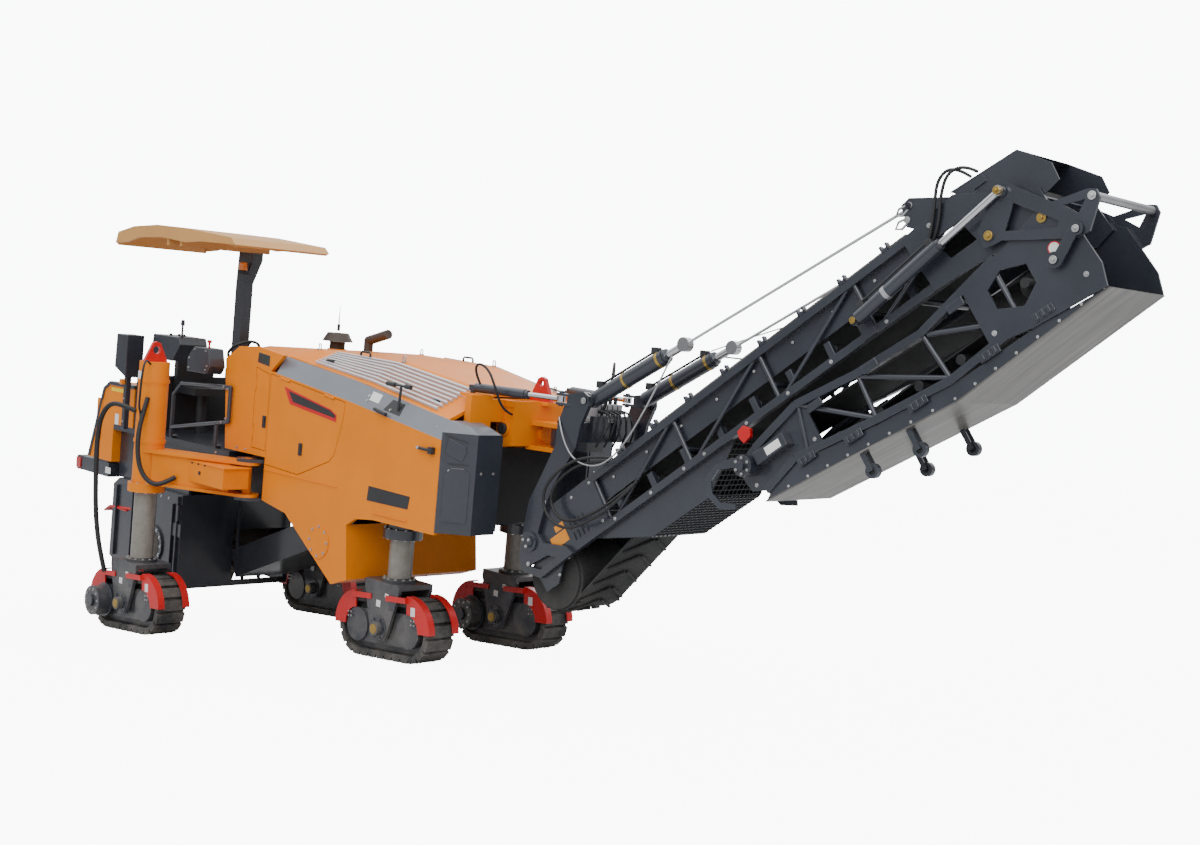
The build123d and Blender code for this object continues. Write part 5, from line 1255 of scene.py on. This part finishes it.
ROPES = (
    ("slack_rope_right", 0.008, CONVEYOR, "slew_frame", "limp", "hanging",
     [(1.618, -0.452, 2.43), (1.7, -0.485, 2.25), (1.9, -0.49, 2.06), (2.22, -0.48, 2.08),
      (2.52, -0.45, 2.48), (2.718, -0.352, 3.058)]),
    ("slack_rope_left", 0.008, BOOM, "boom", "limp", "hanging",
     [(1.283, 0.335, 0.985), (1.36, 0.45, 0.96), (1.64, 0.45, 0.74), (2, 0.44, 0.56),
      (2.3, 0.367, 0.445)]),
    ("slack_rope_long", 0.006, BOOM, "boom", "limp", "hanging",
     [(3.818, 0.362, 0.515), (3.2, 0.38, 0.47), (2.6, 0.4, 0.59), (1.9, 0.4, 0.84),
      (1.41, 0.328, 0.968)]),
)
for name, radius, place, body, stiffness, lay, points in HOSES:
    hose(name, points, radius, place, body, HOSE)
for name, radius, place, body, stiffness, lay, points in ROPES:
    hose(name, points, radius, place, body, STEEL)

# %% [markdown]
# The stage is a pale floor, glowing only for the camera so that it stays white without lighting
# the machine from below.

# %% Floor
FLOOR_HALF, FLOOR_GLOW = 60, 9.0
floor_mesh = bmesh.new()
bmesh.ops.create_grid(floor_mesh, x_segments=1, y_segments=1, size=FLOOR_HALF)
mesh = bpy.data.meshes.new("floor")
floor_mesh.to_mesh(mesh)
floor_mesh.free()
floor = bpy.data.objects.new("floor", mesh)
bpy.context.scene.collection.objects.link(floor)
pale = finish("pale_floor", (0.5, 0.5, 0.5), 0.7, dust=0.0, cloud=0.01)
tree = pale.node_tree
shader = tree.nodes["Principled BSDF"].inputs
shader["Emission Color"].default_value = (1, 1, 1, 1)
seen = node(tree, "LightPath").outputs["Is Camera Ray"]
plug(tree, shader["Emission Strength"], maths(tree, "MULTIPLY", seen, FLOOR_GLOW))
mesh.materials.append(pale)
print("floor half", FLOOR_HALF)

# %% [markdown]
# A cloudy sky is brightest overhead, which shades upright faces softly. The camera sees it as
# a plain bright backdrop.

# %% Sky
HORIZON, ZENITH, BACKDROP = 0.26, 2.3, 10.0
world = bpy.data.worlds.new("even_sky")
bpy.context.scene.world = world
world.use_nodes = True
tree = world.node_tree
way = node(tree, "SeparateXYZ", {0: node(tree, "TexCoord").outputs["Generated"]}).outputs[2]
seen = node(tree, "LightPath").outputs["Is Camera Ray"]
sky = span(tree, way, 0.05, 0.85, HORIZON, ZENITH)
backdrop = maths(tree, "MULTIPLY", seen, BACKDROP)
shader = tree.nodes["Background"].inputs
shader["Color"].default_value = (0.96, 0.98, 1.0, 1)
plug(tree, shader["Strength"], maths(tree, "ADD", sky, backdrop))
print("sky from", HORIZON, "to", ZENITH)

# %% [markdown]
# Two large soft lamps, one ahead to the right and a weaker one on the left, add the long gentle
# shading that tells the flat faces apart.

# %% Lamps
AIM = Vector((0, 0, 1.5))


def soft_lamp(name, place, size, power):
    """A square lamp that looks at the middle of the machine."""
    lamp = bpy.data.lights.new(name, "AREA")
    lamp.size = size
    lamp.energy = power
    made = bpy.data.objects.new(name, lamp)
    bpy.context.scene.collection.objects.link(made)
    made.location = place
    made.rotation_euler = (AIM - Vector(place)).to_track_quat("-Z", "Y").to_euler()
    print(name, "of", power, "W")


soft_lamp("key_lamp", (7.0, -11.0, 9.0), 7.0, 620)
soft_lamp("left_lamp", (-6.0, 12.0, 9.0), 8.0, 450)

# %% [markdown]
# The camera stands at the height of the operator's deck, off the front right corner, and rolls
# a little, because the machine was seen by a person who stood there.

# %% Camera
YAW, TILT, ROLL = radians(44.86), radians(-0.11), radians(1.07)
STAND = (11.575, -9.716, 2.239)
LENS, SENSOR, FAR = 47.2, 36, 200
lens = bpy.data.cameras.new("camera")
lens.lens = LENS
lens.sensor_width = SENSOR
lens.clip_end = FAR
camera = bpy.data.objects.new("camera", lens)
bpy.context.scene.collection.objects.link(camera)
turn = Matrix.Rotation(YAW, 4, "Z") @ Matrix.Rotation(pi / 2 + TILT, 4, "X")
camera.matrix_world = (GROUND @ Matrix.Translation(STAND) @ turn
                       @ Matrix.Rotation(ROLL, 4, "Z"))
bpy.context.scene.camera = camera
print("camera at", camera.matrix_world.translation)
